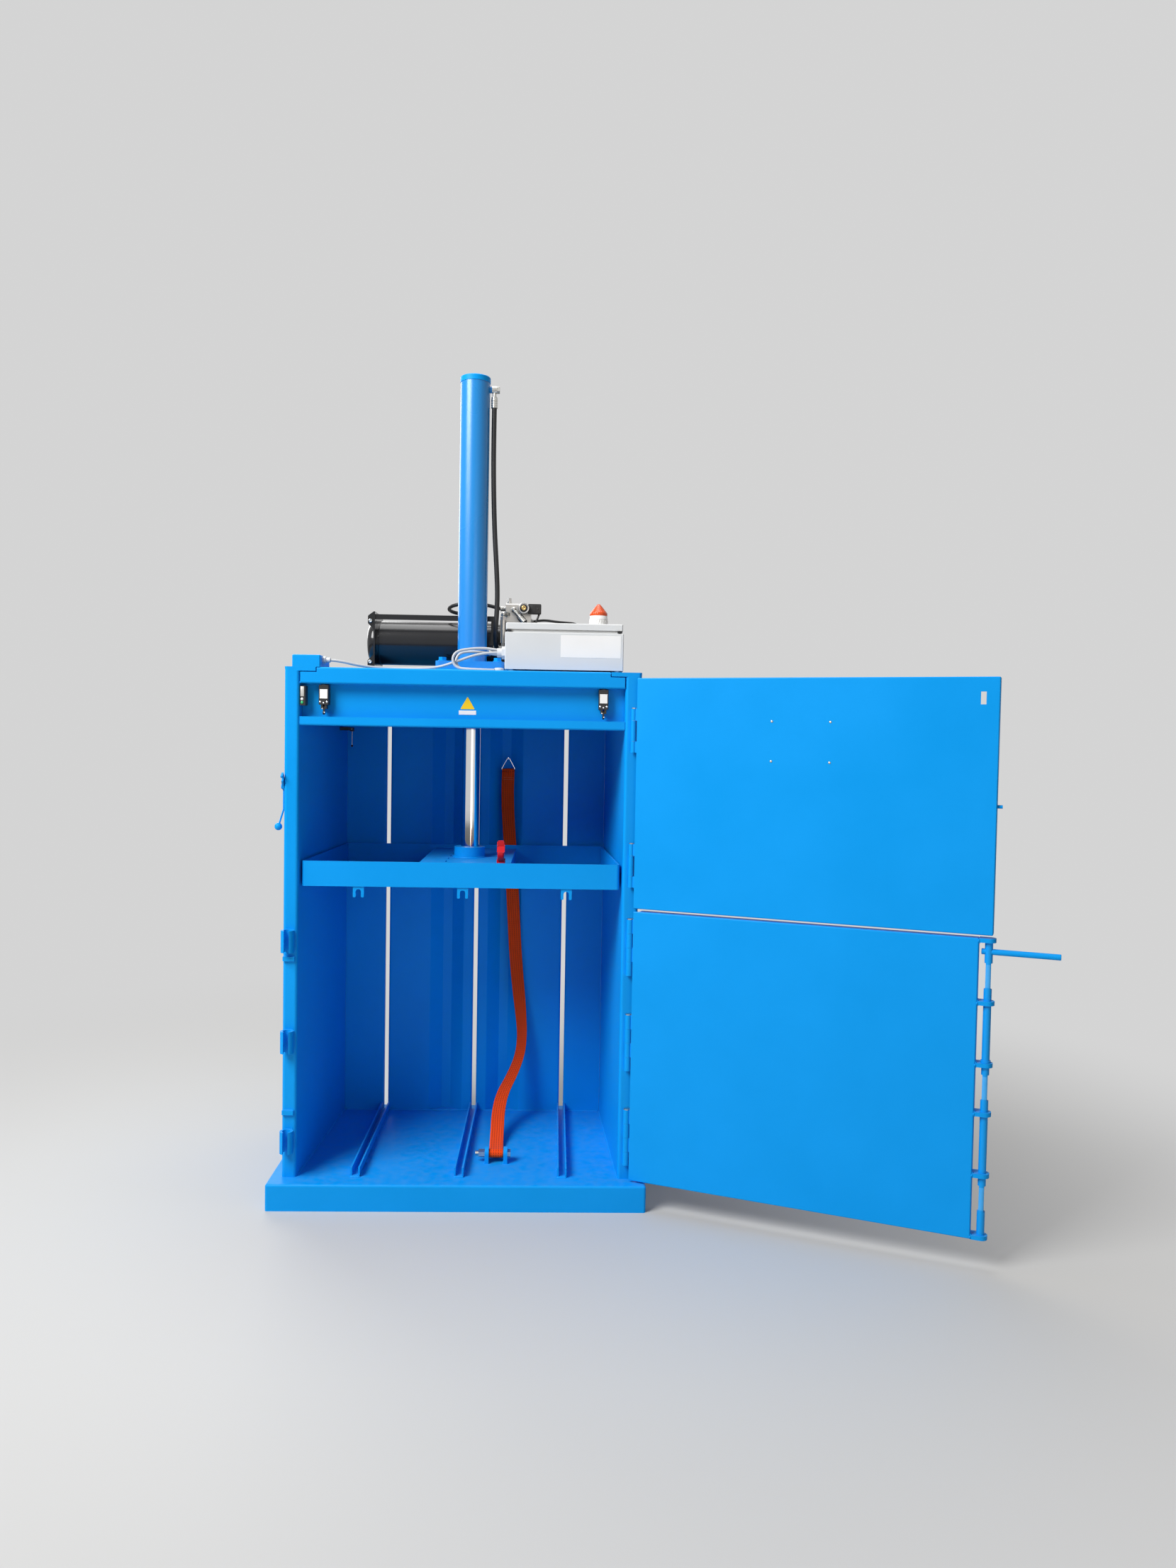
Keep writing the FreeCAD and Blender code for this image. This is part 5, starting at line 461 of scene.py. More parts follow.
# %% Metals
def metal(name, colour, roughness, line_scale=900.0, relief=0.00005, variation=0.15):
    """Bare or plated metal with fine tool lines and clouds of tone."""
    tree, shader = finish(name, colour, roughness, metallic=1.0)
    tooled = use(tree, lines, Scale=line_scale)
    dull = tuple(c * (1 - variation) for c in colour)
    wire(tree, blend_colour(tree, tooled["Streak"], dull, colour), shader.inputs["Base Color"])
    wire(tree, spread(tree, tooled["Streak"], roughness * 1.35, roughness * 0.75), shader.inputs["Roughness"])
    bump(tree, shader, tooled["Height"], 0.25, relief)


metal("chrome", (0.86, 0.87, 0.88), 0.06, line_scale=700.0, relief=0.00001, variation=0.04)
metal("zinc_steel", (0.66, 0.65, 0.61), 0.3, relief=0.00006, variation=0.2)
metal("bright_steel", (0.6, 0.6, 0.6), 0.22)
metal("valve_aluminium", (0.74, 0.73, 0.7), 0.38, line_scale=500.0, relief=0.0001, variation=0.12)
metal("brass", (0.78, 0.52, 0.2), 0.24)
metal("wand_steel", (0.55, 0.55, 0.55), 0.25, variation=0.1)
metal("ring_zinc", (0.95, 0.95, 0.94), 0.14, relief=0.00003, variation=0.04)

# %% [markdown]
# ### Plastics, rubber and webbing
#
# Moulded plastic has a fine spark texture, and hose rubber shows the cloth that it was cured in. The
# ejection strap is woven polyester.

# %% Plastics and rubber
def plastic(name, colour, roughness, grain=900.0, relief=0.0001, dust_cover=0.1):
    """Moulded plastic or rubber with a fine grain and dust."""
    tree, shader = finish(name, colour, roughness)
    skin = use(tree, film, Peel_Scale=grain)
    dusty = use(tree, dust, Cover=dust_cover)["Mask"]
    base = blend_colour(tree, skin["Mottle"], tuple(c * 0.9 for c in colour),
                        tuple(min(1, c * 1.1 + 0.002) for c in colour))
    wire(tree, blend_colour(tree, dusty, base, (0.35, 0.34, 0.32)), shader.inputs["Base Color"])
    wire(tree, spread(tree, skin["Peel"], roughness - 0.05, roughness + 0.08), shader.inputs["Roughness"])
    bump(tree, shader, skin["Peel"], 0.4, relief)


plastic("black_plastic", (0.018, 0.018, 0.019), 0.42, grain=1200.0, relief=0.00015, dust_cover=0.15)
plastic("grey_plastic", (0.62, 0.63, 0.64), 0.4, grain=1200.0)
plastic("white_plastic", (0.8, 0.8, 0.79), 0.32, grain=1200.0)
plastic("hose_rubber", (0.007, 0.007, 0.008), 0.5, grain=800.0, relief=0.0002, dust_cover=0.04)
plastic("cable_sheath", (0.5, 0.51, 0.52), 0.36)
plastic("dark_sheath", (0.03, 0.03, 0.032), 0.4)
for label, colour, roughness in (("white_label", (0.88, 0.88, 0.87), 0.4),
                                 ("yellow_label", (0.95, 0.62, 0.01), 0.4),
                                 ("green_lens", (0.03, 0.5, 0.18), 0.2)):
    plastic(label, colour, roughness, relief=0.00002, dust_cover=0.05)
plastic("thread", (0.72, 0.5, 0.42), 0.7, relief=0.00002, dust_cover=0.02)
plastic("beacon_plastic", (0.95, 0.105, 0.006), 0.16, grain=500.0, dust_cover=0.02)
fill(materials["beacon_plastic"].node_tree.nodes["Principled BSDF"], Transmission_Weight=0.3)

ORANGE, DASH, SOILED = (1.0, 0.08, 0.004), (0.4, 0.02, 0.003), (0.85, 0.07, 0.008)
cloth, cloth_shader = finish("orange_webbing", ORANGE, 0.75, sheen=0.08, specular=0.15)
threads = use(cloth, weave)
soil = spread(cloth, use(cloth, film, Peel_Scale=300.0)["Mottle"], 0.0, 0.35)
wire(cloth, blend_colour(cloth, threads["Dash"], blend_colour(cloth, soil, ORANGE, SOILED), DASH),
     cloth_shader.inputs["Base Color"])
bump(cloth, cloth_shader, threads["Height"], 0.6, 0.0006)

# %% [markdown]
# Each solid wears one finish. The ones that this table doesn't name are blue.

# %% Dress the solids
FINISHES = {
    "black_paint": ["oil_tank", "pack_frame", "pump_body"],
    "motor_paint": ["electric_motor"],
    "zinc_steel": ["hinge_pins", "strap_bolt", "hydraulic_fittings"],
    "ring_zinc": ["strap_ring"],
    "bar_paint": ["lock_bar"],
    "cylinder_paint": ["cylinder_tube"],
    "chrome": ["piston_rod"],
    "red_paint": ["ejection_hook", "hook_latch"],
    "valve_aluminium": ["valve_block"],
    "black_plastic": ["solenoid_valve", "lid_fittings", "enclosure_hinges", "position_switches",
                      "left_roller_lever", "right_roller_lever"],
    "grey_enamel": ["enclosure_body", "enclosure_lid"],
    "beacon_plastic": ["beacon"],
    "grey_plastic": ["cable_glands"],
    "wand_steel": ["switch_wand"],
}
finish_of = {node: label for label, nodes in FINISHES.items() for node in nodes}
for node, solid in solids.items():
    solid.data.materials.clear()
    solid.data.materials.append(materials[finish_of.get(node, "blue_paint")])
print("dressed:", len(solids))

# %% [markdown]
# ## Hoses and cables
#
# Each hose is one smooth NURBS curve with a round bevel: a few control points give an even bend, as a stiff
# hose has. They are the route that the solid model uses.

# %% Hoses
def cord_curve(name, points, diameter, material):
    """A tube on a smooth spline with these control points."""
    line = bpy.data.curves.new(name, "CURVE")
    line.dimensions = "3D"
    line.resolution_u = 10
    line.bevel_depth = diameter * MM / 2
    line.bevel_resolution = 5
    spline = line.splines.new("NURBS")
    spline.points.add(len(points) - 1)
    for control, point in zip(spline.points, points):
        control.co = (*behind(*point), 1)
    spline.order_u = 3
    spline.use_endpoint_u = True
    line.materials.append(materials[material])
    thing = add_object(name, line)
    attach(thing, "frame")
    return thing


def centre_line(curve):
    """Points along a curve's spline, without its bevel."""
    plain = curve.data.copy()
    plain.bevel_depth = 0
    holder = add_object("line", plain)
    bpy.context.view_layer.update()
    mesh = bpy.data.meshes.new_from_object(holder.evaluated_get(bpy.context.evaluated_depsgraph_get()))
    points = [vertex.co.copy() for vertex in mesh.vertices]
    bpy.data.objects.remove(holder)
    bpy.data.meshes.remove(mesh)
    return points


def heading(points, k):
    """The direction of a line of points at its k-th point."""
    return (points[min(k + 1, len(points) - 1)] - points[max(k - 1, 0)]).normalized()


def run_length(points):
    """Length of a line of points."""
    return sum((b - a).length for a, b in zip(points, points[1:]))


def free_cord(name, points, diameter, material, node):
    """A cord on its route; it hides the solid that it replaces and prints its own measured length."""
    cord = cord_curve(name, points, diameter, material)
    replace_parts(cord, node)
    length = run_length(centre_line(cord))
    print(name, "length", round(length, 3))


HOSES = {                           # diameter, node, lay, route as x, depth and height
    "Pressure_hose": (17.0, "pressure_hose", "hanging", (
        (65, 335, 2620), (64, 336, 2500), (66, 335, 2350), (71, 336, 2210), (79, 335, 2090),
        (84, 336, 2000), (83, 336, 1935), (80, 335, 1882), (77, 359, 1840), (79, 400, 1816))),
    "Rod_side_hose": (17.0, "rod_side_hose", "loose", (
        (176, 430, 1905), (184, 418, 1882), (186, 409, 1856), (182, 401, 1830), (168, 392, 1806),
        (144, 383, 1790), (116, 375, 1788))),
    "Return_hose": (13.0, "return_hose", "loose", (
        (88, 492, 1958), (55, 489, 1967), (10, 476, 1973), (-40, 473, 1972), (-84, 490, 1966),
        (-103, 533, 1958), (-90, 577, 1951), (-50, 603, 1947), (-6, 600, 1946), (25, 573, 1941),
        (33, 540, 1930))),
}
for label, (diameter, node, lay, route) in HOSES.items():
    free_cord(label, route, diameter, "hose_rubber", node)

# %% [markdown]
# Two light cables loop beside the enclosure, one runs along the roof to the interlock switch, and two dark
# ones serve the coil and the pack's sensor.

# %% Cables
CABLES = {                          # diameter, sheath, route
    "Interlock_cable": (9.0, "cable_sheath", (
        (97, 112, 1774), (64, 111, 1773), (15, 112, 1762), (-38, 113, 1741), (-95, 114, 1722),
        (-160, 112, 1716.5), (-235, 106, 1716.2), (-300, 86, 1717), (-352, 60, 1723), (-394, 45, 1733),
        (-427, 40, 1735))),
    "Switch_cable_one": (9.0, "cable_sheath", (
        (97, 120, 1783), (66, 118, 1788), (18, 112, 1786), (-28, 106, 1778), (-45, 103, 1761),
        (-45, 100, 1737), (-28, 97, 1720), (16, 90, 1717.5), (62, 88, 1716.3), (89, 94, 1716.5))),
    "Switch_cable_two": (9.0, "cable_sheath", (
        (97, 128, 1768), (68, 131, 1773), (24, 132, 1778), (-19, 130, 1775), (-36, 127, 1758),
        (-36, 115, 1734), (-19, 112, 1717.5), (23, 105, 1716.5), (66, 102, 1716.3), (89, 106, 1716.5))),
    "Coil_cable": (7.0, "dark_sheath", (
        (226, 454, 1936), (219, 450, 1916), (210, 444, 1892), (203, 431, 1868), (202, 411, 1848),
        (205, 388, 1834), (206, 369, 1828))),
    "Sensor_cable": (9.0, "dark_sheath", (
        (206, 505, 1917), (226, 503, 1920), (252, 500, 1921), (282, 498, 1917), (318, 500, 1914),
        (348, 514, 1913.5), (364, 542, 1911), (362, 572, 1899), (354, 596, 1884))),
}
for label, (diameter, sheath, route) in CABLES.items():
    free_cord(label, route, diameter, sheath, "electric_cables")

# %% [markdown]
# ## The ejection strap
#
# The strap pulls the bale out when the platen rises with its hook in the strap's ring. It is flat webbing,
# so a smooth line gives its middle, and at each point a cross-section stands across it, turned by how much
# the webbing twists there.

# %% The strap's middle line
STRAP_WIDTH, STRAP_THICKNESS, STRAP_PITCH = 47.0, 2.6, 0.008    # the pitch in metres
FLOOR_TOP = 85.0
STRAP_ROUTE = (                     # x, depth, height over the floor, twist in degrees
    (115, 168, 20, 0), (112, 215, 7, 0), (109, 280, 12, 0), (108, 350, 34, 0), (107, 430, 74, -4),
    (117, 498, 119, -12), (151, 560, 170, -26), (178, 607, 232, -38), (184, 634, 300, -40),
    (178, 648, 370, -30), (170, 655, 440, -14), (161, 656, 520, -6), (152, 658, 620, 0), (146, 659, 720, 0),
    (134, 660, 915, 0), (127, 660, 1015, 0), (119, 659, 1115, 0), (115, 657, 1215, 0), (117, 655.3, 1268, 0),
    (117, 655, 1289, 0))


def evenly(points, pitch):
    """The same line with its points a fixed pitch apart."""
    made, left = [points[0]], pitch
    for a, b in zip(points, points[1:]):
        span = (b - a).length
        while span >= left:
            a = a + (b - a) * (left / span)
            made.append(a)
            span, left = (b - a).length, pitch
        left -= span
    if (made[-1] - points[-1]).length > pitch * 0.3:
        made.append(points[-1])
    return made


def strap_line():
    """The webbing's middle line and its twist at each point."""
    route = [(x, depth, FLOOR_TOP + rise) for x, depth, rise, _ in STRAP_ROUTE]
    guide = cord_curve("Strap_guide", route, 2.0, "orange_webbing")
    points = evenly(centre_line(guide), STRAP_PITCH)
    bpy.data.objects.remove(guide)
    corners = [behind(*corner) for corner in route]
    twists = []
    for point in points:
        near = sorted(range(len(corners)), key=lambda k: (corners[k] - point).length)[:2]
        weights = [1 / ((corners[k] - point).length + 0.004) for k in near]
        twists.append(sum(w * STRAP_ROUTE[k][3] for w, k in zip(weights, near)) / sum(weights))
    windows = [twists[max(0, k - 4):k + 5] for k in range(len(twists))]
    return points, [sum(window) / len(window) for window in windows]


strap_points, strap_twists = strap_line()

# %% [markdown]
# The ribbon has slightly rounded edges and carries a UV map in metres, which the weave reads. Its two ends
# are sewn into loops, about the floor's bolt and about the ring.

# %% Ribbon of webbing
def ribbon(points, twists):
    """A flat band swept along points, with U across it and V along it in metres."""
    shape = bmesh.new()
    uv = shape.loops.layers.uv.new("Webbing")
    half, thin = STRAP_WIDTH * MM / 2, STRAP_THICKNESS * MM / 2
    upper = [(-half * 0.985, thin * 0.8)] + [(half * k / 5, thin) for k in range(-4, 5)] + [
        (half * 0.985, thin * 0.8)]
    profile = [(-half, 0.0)] + upper + [(half, 0.0)] + [(u, -v) for u, v in reversed(upper)]
    rings, along = [], [0.0]
    for k, (point, twist) in enumerate(zip(points, twists)):
        ahead = heading(points, k)
        out = SIDEWAYS.cross(ahead).normalized()
        across = ahead.cross(out).normalized()
        turn = Matrix.Rotation(math.radians(twist), 3, ahead)
        across, out = turn @ across, turn @ out
        rings.append([shape.verts.new(point + across * u + out * v) for u, v in profile])
        if k:
            along.append(along[-1] + (point - points[k - 1]).length)
    for k in range(len(rings) - 1):
        for j in range(len(profile)):
            m = (j + 1) % len(profile)
            face = shape.faces.new((rings[k][j], rings[k][m], rings[k + 1][m], rings[k + 1][j]))
            for loop, (ring, column) in zip(face.loops, ((k, j), (k, m), (k + 1, m), (k + 1, j))):
                loop[uv].uv = (profile[column][0] + half, along[ring])
    for ring in (rings[0], rings[-1][::-1]):
        shape.faces.new(ring)
    return shape


def webbing_piece(name, points, twists=None):
    """A piece of the webbing on the frame."""
    shape = ribbon(points, twists or [0] * len(points))
    return piece(name, shape, "frame", "orange_webbing", "orange_webbing")


def loop_line(centre, inner, start):
    """A full turn of webbing about an axis along X; start is in degrees from -Y, turning up."""
    steps = 28
    angles = [math.radians(start - 360 * k / steps) for k in range(steps + 1)]
    return [centre + Vector((0, -math.cos(a), math.sin(a))) * (inner + STRAP_THICKNESS / 2) * MM
            for a in angles]


strap = webbing_piece("Ejection_strap", strap_points, strap_twists)
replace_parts(strap, "ejection_strap")
bolt_loop = webbing_piece("Strap_bolt_loop", loop_line(behind(115, 145, FLOOR_TOP + 29), 12, 225))
ring_loop = webbing_piece("Strap_ring_loop", loop_line(behind(117, 655, 1378), 3.2, 270))

# %% [markdown]
# ## Tools for fastenings and trim
#
# Weld beads, screw heads and labels come in dozens, so each kind has one function that adds it to a shared
# bmesh. A whole family, such as all welds of the frame, becomes one object.

# %% Boxes and turned forms
def add_box(shape, low, high, round_off=0.0):
    """A box between two corners (x, depth behind the posts, z) with rounded edges."""
    made = bmesh.ops.create_cube(shape, size=1.0)
    a, b = behind(*low), behind(*high)
    for vertex in made["verts"]:
        vertex.co = Vector(((a[k] + b[k]) / 2 + vertex.co[k] * (b[k] - a[k])) for k in range(3))
    if round_off:
        edges = list({edge for vertex in made["verts"] for edge in vertex.link_edges})
        bmesh.ops.bevel(shape, geom=edges, offset=round_off * MM, segments=3, profile=0.5, affect="EDGES")


def turns(steps, more=0):
    """Angles all round a circle; one more comes back to the start."""
    return [2 * math.pi * k / steps for k in range(steps + more)]


def basis(axis):
    """Two directions square to an axis."""
    side = UPWARD if abs(axis.z) < 0.9 else SIDEWAYS
    first = axis.cross(side).normalized()
    return first, axis.cross(first).normalized()


def join_rings(shape, rings, closed=False):
    """Faces between rings of vertices, and a cap on each end unless the last ring meets the first."""
    for low, high in zip(rings, rings[1:] + (rings[:1] if closed else [])):
        for k in range(len(low)):
            m = (k + 1) % len(low)
            shape.faces.new((low[k], low[m], high[m], high[k]))
    if not closed:
        shape.faces.new(rings[0][::-1])
        shape.faces.new(rings[-1])


def add_turned(shape, profile, foot, axis, steps=28, wave=None, closed=False):
    """A turned form: profile pairs of (radius, height) in mm about an axis from a foot point in metres."""
    axis = Vector(axis).normalized()
    first, second = basis(axis)
    rings = []
    for radius, height in profile:
        ring = []
        for turn in turns(steps):
            grown = radius * (wave(turn) if wave else 1.0)
            ring.append(shape.verts.new(foot + axis * height * MM + (first * math.cos(turn)
                                        + second * math.sin(turn)) * grown * MM))
        rings.append(ring)
    join_rings(shape, rings, closed)


# %% [markdown]
# A weld bead is a half-sunk rod that swells at each ripple of the weld pool. A seeded random number makes
# every ripple a little different.

# %% Weld beads
BEAD_SIDES, RIPPLE_PITCH = 8, 0.0042


def add_bead(shape, points, radius, seed):
    """A weld bead along points in metres."""
    wobble = random.Random(seed)
    line = evenly(points, RIPPLE_PITCH)
    rings = []
    for k, point in enumerate(line):
        first, second = basis(heading(line, k))
        end = 0.45 if k in (0, len(line) - 1) else 1.0
        grown = radius * MM * end * (1.0 + (0.14 if k % 2 else -0.1) + wobble.uniform(-0.06, 0.06))
        rings.append([shape.verts.new(point + (first * math.cos(a) + second * math.sin(a)) * grown)
                      for a in turns(BEAD_SIDES)])
    join_rings(shape, rings)


def seam(shape, start, end, radius, seed):
    """A straight bead between two points (x, depth behind the posts, z)."""
    add_bead(shape, [behind(*start), behind(*end)], radius, seed)


# %% [markdown]
# The side walls run in a little towards the back, and the doors stand open at an angle. Two functions give
# places on them.

# %% Places on the walls and doors
WALL_LEFT, WALL_RIGHT, WALL_TAPER, CHAMBER_DEPTH = 516.0, 511.0, 33.0, 671.0
HINGE_X, HINGE_OUT, DOOR_TURN = 537.0, 11.5, math.radians(156.1 - 180.0)


def wall_x(side, depth):
    """Inner face of a side wall at a depth."""
    return side * ((WALL_LEFT if side < 0 else WALL_RIGHT) - WALL_TAPER * depth / CHAMBER_DEPTH)


def on_door(along, out, z):
    """A point of the open doors: along the panel from the hinge pin, out from its inner side."""
    x = HINGE_X + along * math.cos(DOOR_TURN) - out * math.sin(DOOR_TURN)
    y = FRONT - HINGE_OUT + along * math.sin(DOOR_TURN) + out * math.cos(DOOR_TURN)
    return at(x, y, z)


# %% [markdown]
# ## Welds
#
# The floor is sealed along the walls, and the wire channels are stitched down at intervals. All beads are
# painted blue.

# %% Welds on the floor
LANES = (-329.0, 2.0, 333.0)
FLOOR_SEAM, BACK_SEAM = 85.5, 670.5
STITCH_PITCH, STITCH_LENGTH = 112, 42
beads = bmesh.new()
for side in (-1, 1):
    add_bead(beads, [behind(wall_x(side, d), d, FLOOR_SEAM) for d in (10, 330, 668)], 3.2, 3)
for low, high in ((-480, -340), (-318, -9), (13, 322), (344, 475)):
    seam(beads, (low, BACK_SEAM, FLOOR_SEAM), (high, BACK_SEAM, FLOOR_SEAM), 3.0, 5)
for lane in LANES:
    for k in range(6):
        for side, shift in ((-1, 50), (1, 0)):
            x, start = lane + side * 15.3, 18 + k * STITCH_PITCH + shift
            seam(beads, (x, start, FLOOR_SEAM), (x, start + STITCH_LENGTH, FLOOR_SEAM), 3.4, k)
    seam(beads, (lane - 17, 5.5, FLOOR_SEAM), (lane + 17, 5.5, FLOOR_SEAM), 3.6, 7)
for x in (77.5, 90.5, 139.5, 152.5):
    seam(beads, (x, 124, FLOOR_SEAM), (x, 166, FLOOR_SEAM), 2.8, 11)

# %% [markdown]
# The hooks and stops on the left post have a bead along each joint. So do the cylinder's seat and the
# interlock's box on the roof.

# %% Welds on the post and the roof
POST_SEAM, ROOF_SEAM, HOOK_HALF = -0.3, 1711.5, 33
for middle in (207.0, 527.0, 847.0):
    for x in (-555.8, -528.2):
        seam(beads, (x, POST_SEAM, middle - HOOK_HALF), (x, POST_SEAM, middle + HOOK_HALF), 2.6, 13)
for low in (288.0, 781.0):
    for z in (low, low + 14):
        seam(beads, (-560, POST_SEAM, z), (-524, POST_SEAM, z), 2.2, 17)
seat = ((-115, 220), (115, 220), (115, 450), (-115, 450), (-115, 220))
add_bead(beads, [behind(x, depth, ROOF_SEAM) for x, depth in seat], 3.6, 19)
for x, start, end in ((-539.0, 6, 150), (-451.0, 6, 148)):
    seam(beads, (x, start, ROOF_SEAM - 0.2), (x, end, ROOF_SEAM - 0.2), 2.0, 23)

# %% [markdown]
# Outside, the stiffeners are stitched to the walls above and below, five times along each.

# %% Welds on the outer walls
WALL_SHEET, STIFFENER_HALF = 5.4, 30.5
for side in (-1, 1):
    for level in (330.0, 860.0, 1390.0):
        for edge in (-STIFFENER_HALF, STIFFENER_HALF):
            for k in range(5):
                depth = 90 + k * 130
                add_bead(beads, [behind(wall_x(side, d) + side * WALL_SHEET, d, level + edge)
                                 for d in (depth, depth + 45)], 2.8, 29 + k)
frame_welds = piece("Frame_welds", beads, "frame", "blue_paint", "blue_paint")
print("weld faces:", len(frame_welds.data.polygons))

# %% [markdown]
# ## Switches, signs and lenses
#
# The two position switches under the beam each have a white label field, three chromed screws, a gland nut
# on top and a roller on a short lever.

# %% Position switches
SWITCH_X, SWITCH_FACE = (-441.5, 441.5), 9.1


def add_disc(shape, radius, height, foot, axis, dome=0.0, steps=24):
    """A flat or domed disc, such as a screw head or a pin."""
    profile = [(radius, 0), (radius, height * 0.6), (radius * 0.92, height)]
    if dome:
        profile += [(radius * 0.66, height + dome * 0.6), (radius * 0.3, height + dome)]
    add_turned(shape, profile, foot, axis, steps)


labels, chromed, nuts = bmesh.new(), bmesh.new(), bmesh.new()
for x in SWITCH_X:
    add_box(labels, (x - 12, 8.7, 1612.5), (x + 12, 9.2, 1641.5), 0.2)
    for shift, z, radius in ((-10.5, 1602.0, 3.2), (10.5, 1602.0, 3.2), (0, 1598.6, 2.6)):
        add_disc(chromed, radius, 0.9, behind(x + shift, SWITCH_FACE, z), FORWARD, dome=0.9)
    add_turned(nuts, [(11, 0), (11, 1.2), (9, 1.5), (9, 3.8)], behind(x, 23, 1654.6), UPWARD, 24)
piece("Switch_labels", labels, "frame", "white_label", smooth=False)
piece("Switch_screws", chromed, "frame", "chrome", "chrome")
piece("Switch_gland_nuts", nuts, "frame", "zinc_steel", "zinc_steel")

# %% [markdown]
# The safety switch on the left wall has a grey plate over a clear and a green lens.

# %% Safety switch
plate = bmesh.new()
add_box(plate, (-512.8, 4.6, 1618), (-502.2, 5.2, 1649), 0.2)
piece("Interlock_plate", plate, "frame", "valve_aluminium", "valve_aluminium")
for tint, z, profile, wears in (
        ("clear", 1609.5, [(4.6, 0), (4.6, 1.2), (3.2, 2.4), (1.2, 3.0)], ["white_plastic"]),
        ("green", 1599.0, [(4.4, 0), (4.4, 1.0), (3.0, 2.0), (1.2, 2.4)], ["green_lens", "grey_plastic"])):
    lens = bmesh.new()
    add_turned(lens, profile, behind(-507.6, 5.1, z), FORWARD, 20)
    piece(f"Interlock_{tint}_lens", lens, "frame", *wears)

# %% [markdown]
# Each roller lever carries two pins. The upper one is thin, because it passes close by the switch at the
# end of the swing. The wand ends in a small ball.

# %% Lever pins and the wand's tip
for side in ("left", "right"):
    low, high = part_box(f"{side}_roller_lever")
    middle, depth = (low.x + high.x) / 2 / MM, low.y / MM - FRONT
    pins = bmesh.new()
    add_disc(pins, 2.0, 0.4, behind(middle - 4.2, depth + 0.2, 1580.5), FORWARD, dome=0.2, steps=16)
    add_disc(pins, 2.0, 0.8, behind(middle + 2.6, depth + 0.2, 1568.5), FORWARD, dome=0.6, steps=16)
    piece(f"{side}_lever_pins", pins, f"{side}_lever", "chrome", "chrome")

ball = bmesh.new()
bmesh.ops.create_icosphere(ball, subdivisions=3, radius=4.2 * MM,
                           matrix=Matrix.Translation(behind(-446.3, 552, 1459.2)))
piece("Wand_tip", ball, "wand", "black_plastic", "black_plastic")

# %% [markdown]
# The sign on the beam is a plain yellow triangle with rounded corners over a white strip, and the enclosure
# has a plain white field.

# %% The sign on the beam and the fields
SIGN_X, SIGN_LEVEL, SIGN_RADIUS, SIGN_FACE, SIGN_BACK = 9, 1600.5, 26.5, 37.5, 38.2
CORNER_CUT, CORNER_STEPS = 0.08, 6
corners = [behind(SIGN_X + SIGN_RADIUS * math.cos(a), 0, SIGN_LEVEL + SIGN_RADIUS * math.sin(a))
           for a in (math.radians(t) for t in (90, 210, 330))]
outline = []
for k, here in enumerate(corners):
    start, end = here.lerp(corners[k - 1], CORNER_CUT), here.lerp(corners[(k + 1) % 3], CORNER_CUT)
    for t in (step / CORNER_STEPS for step in range(CORNER_STEPS + 1)):
        outline.append(start.lerp(here, t).lerp(here.lerp(end, t), t))
sign = bmesh.new()
join_rings(sign, [[sign.verts.new(point + Vector((0, depth, 0)) * MM) for point in outline]
                  for depth in (SIGN_FACE, SIGN_BACK)])
piece("Beam_sign", sign, "frame", "yellow_label", smooth=False)
fields = bmesh.new()
add_box(fields, (-18.5, SIGN_FACE, 1569.5), (36.5, SIGN_BACK, 1583.0), 0.2)
add_box(fields, (303, 59.5, 1759), (496, 60.2, 1830), 0.2)
piece("White_fields", fields, "frame", "white_label", smooth=False)

# %% [markdown]
# ## Beacon
#
# A white base with a ridged foot carries the orange lens: a short skirt with upright ribs, then a steep
# cone. The ribs come from a wave on the radius. The beacon rides with the lid.

# %% Beacon
BEACON_PLACE, LENS_FOOT, RIDGE_COUNT = behind(428, 200, 1868.5), 39, 24
base = bmesh.new()
add_turned(base, [(35, 0), (35, 5), (33, 7), (31, 10), (30, 24), (30.6, 25), (30.6, 29), (29.4, 30),
                  (29, LENS_FOOT)], BEACON_PLACE, UPWARD, 64)
for turn in turns(RIDGE_COUNT):
    out = Vector((math.cos(turn), math.sin(turn), 0))
    add_turned(base, [(1.0, 0), (1.0, 12), (0.4, 12.6)], BEACON_PLACE + out * 30.1 * MM + UPWARD * 11 * MM,
               UPWARD, 8)
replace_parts(piece("Beacon_base", base, "lid", "white_plastic"), "beacon")
lens = bmesh.new()
add_turned(lens, [(28.6, 0), (29, 0.6), (29, 9), (28.2, 10.5), (26.5, 12.5), (20.5, 20), (13, 29.5),
                  (6, 37.5), (3, 39.6), (1, 40)], BEACON_PLACE + UPWARD * LENS_FOOT * MM, UPWARD, 144,
           wave=lambda turn: 1.0 - 0.018 * abs(math.sin(turn * 18)))
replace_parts(piece("Beacon_lens", lens, "lid", "beacon_plastic", "beacon_plastic"), "beacon")
bulb = bmesh.new()
add_turned(bulb, [(9, 0), (9, 8), (7, 10), (7, 22), (4, 27)],
           BEACON_PLACE + UPWARD * (LENS_FOOT - 2) * MM, UPWARD, 24)
piece("Beacon_bulb", bulb, "lid", "white_plastic")

# %% [markdown]
# ## Valve and tank trim
#
# The solenoid shows its face to the front: a knurled bright ring, a black cap and a round brass nut, all on
# one axis. The knurl is a fast wave on the ring's radius.

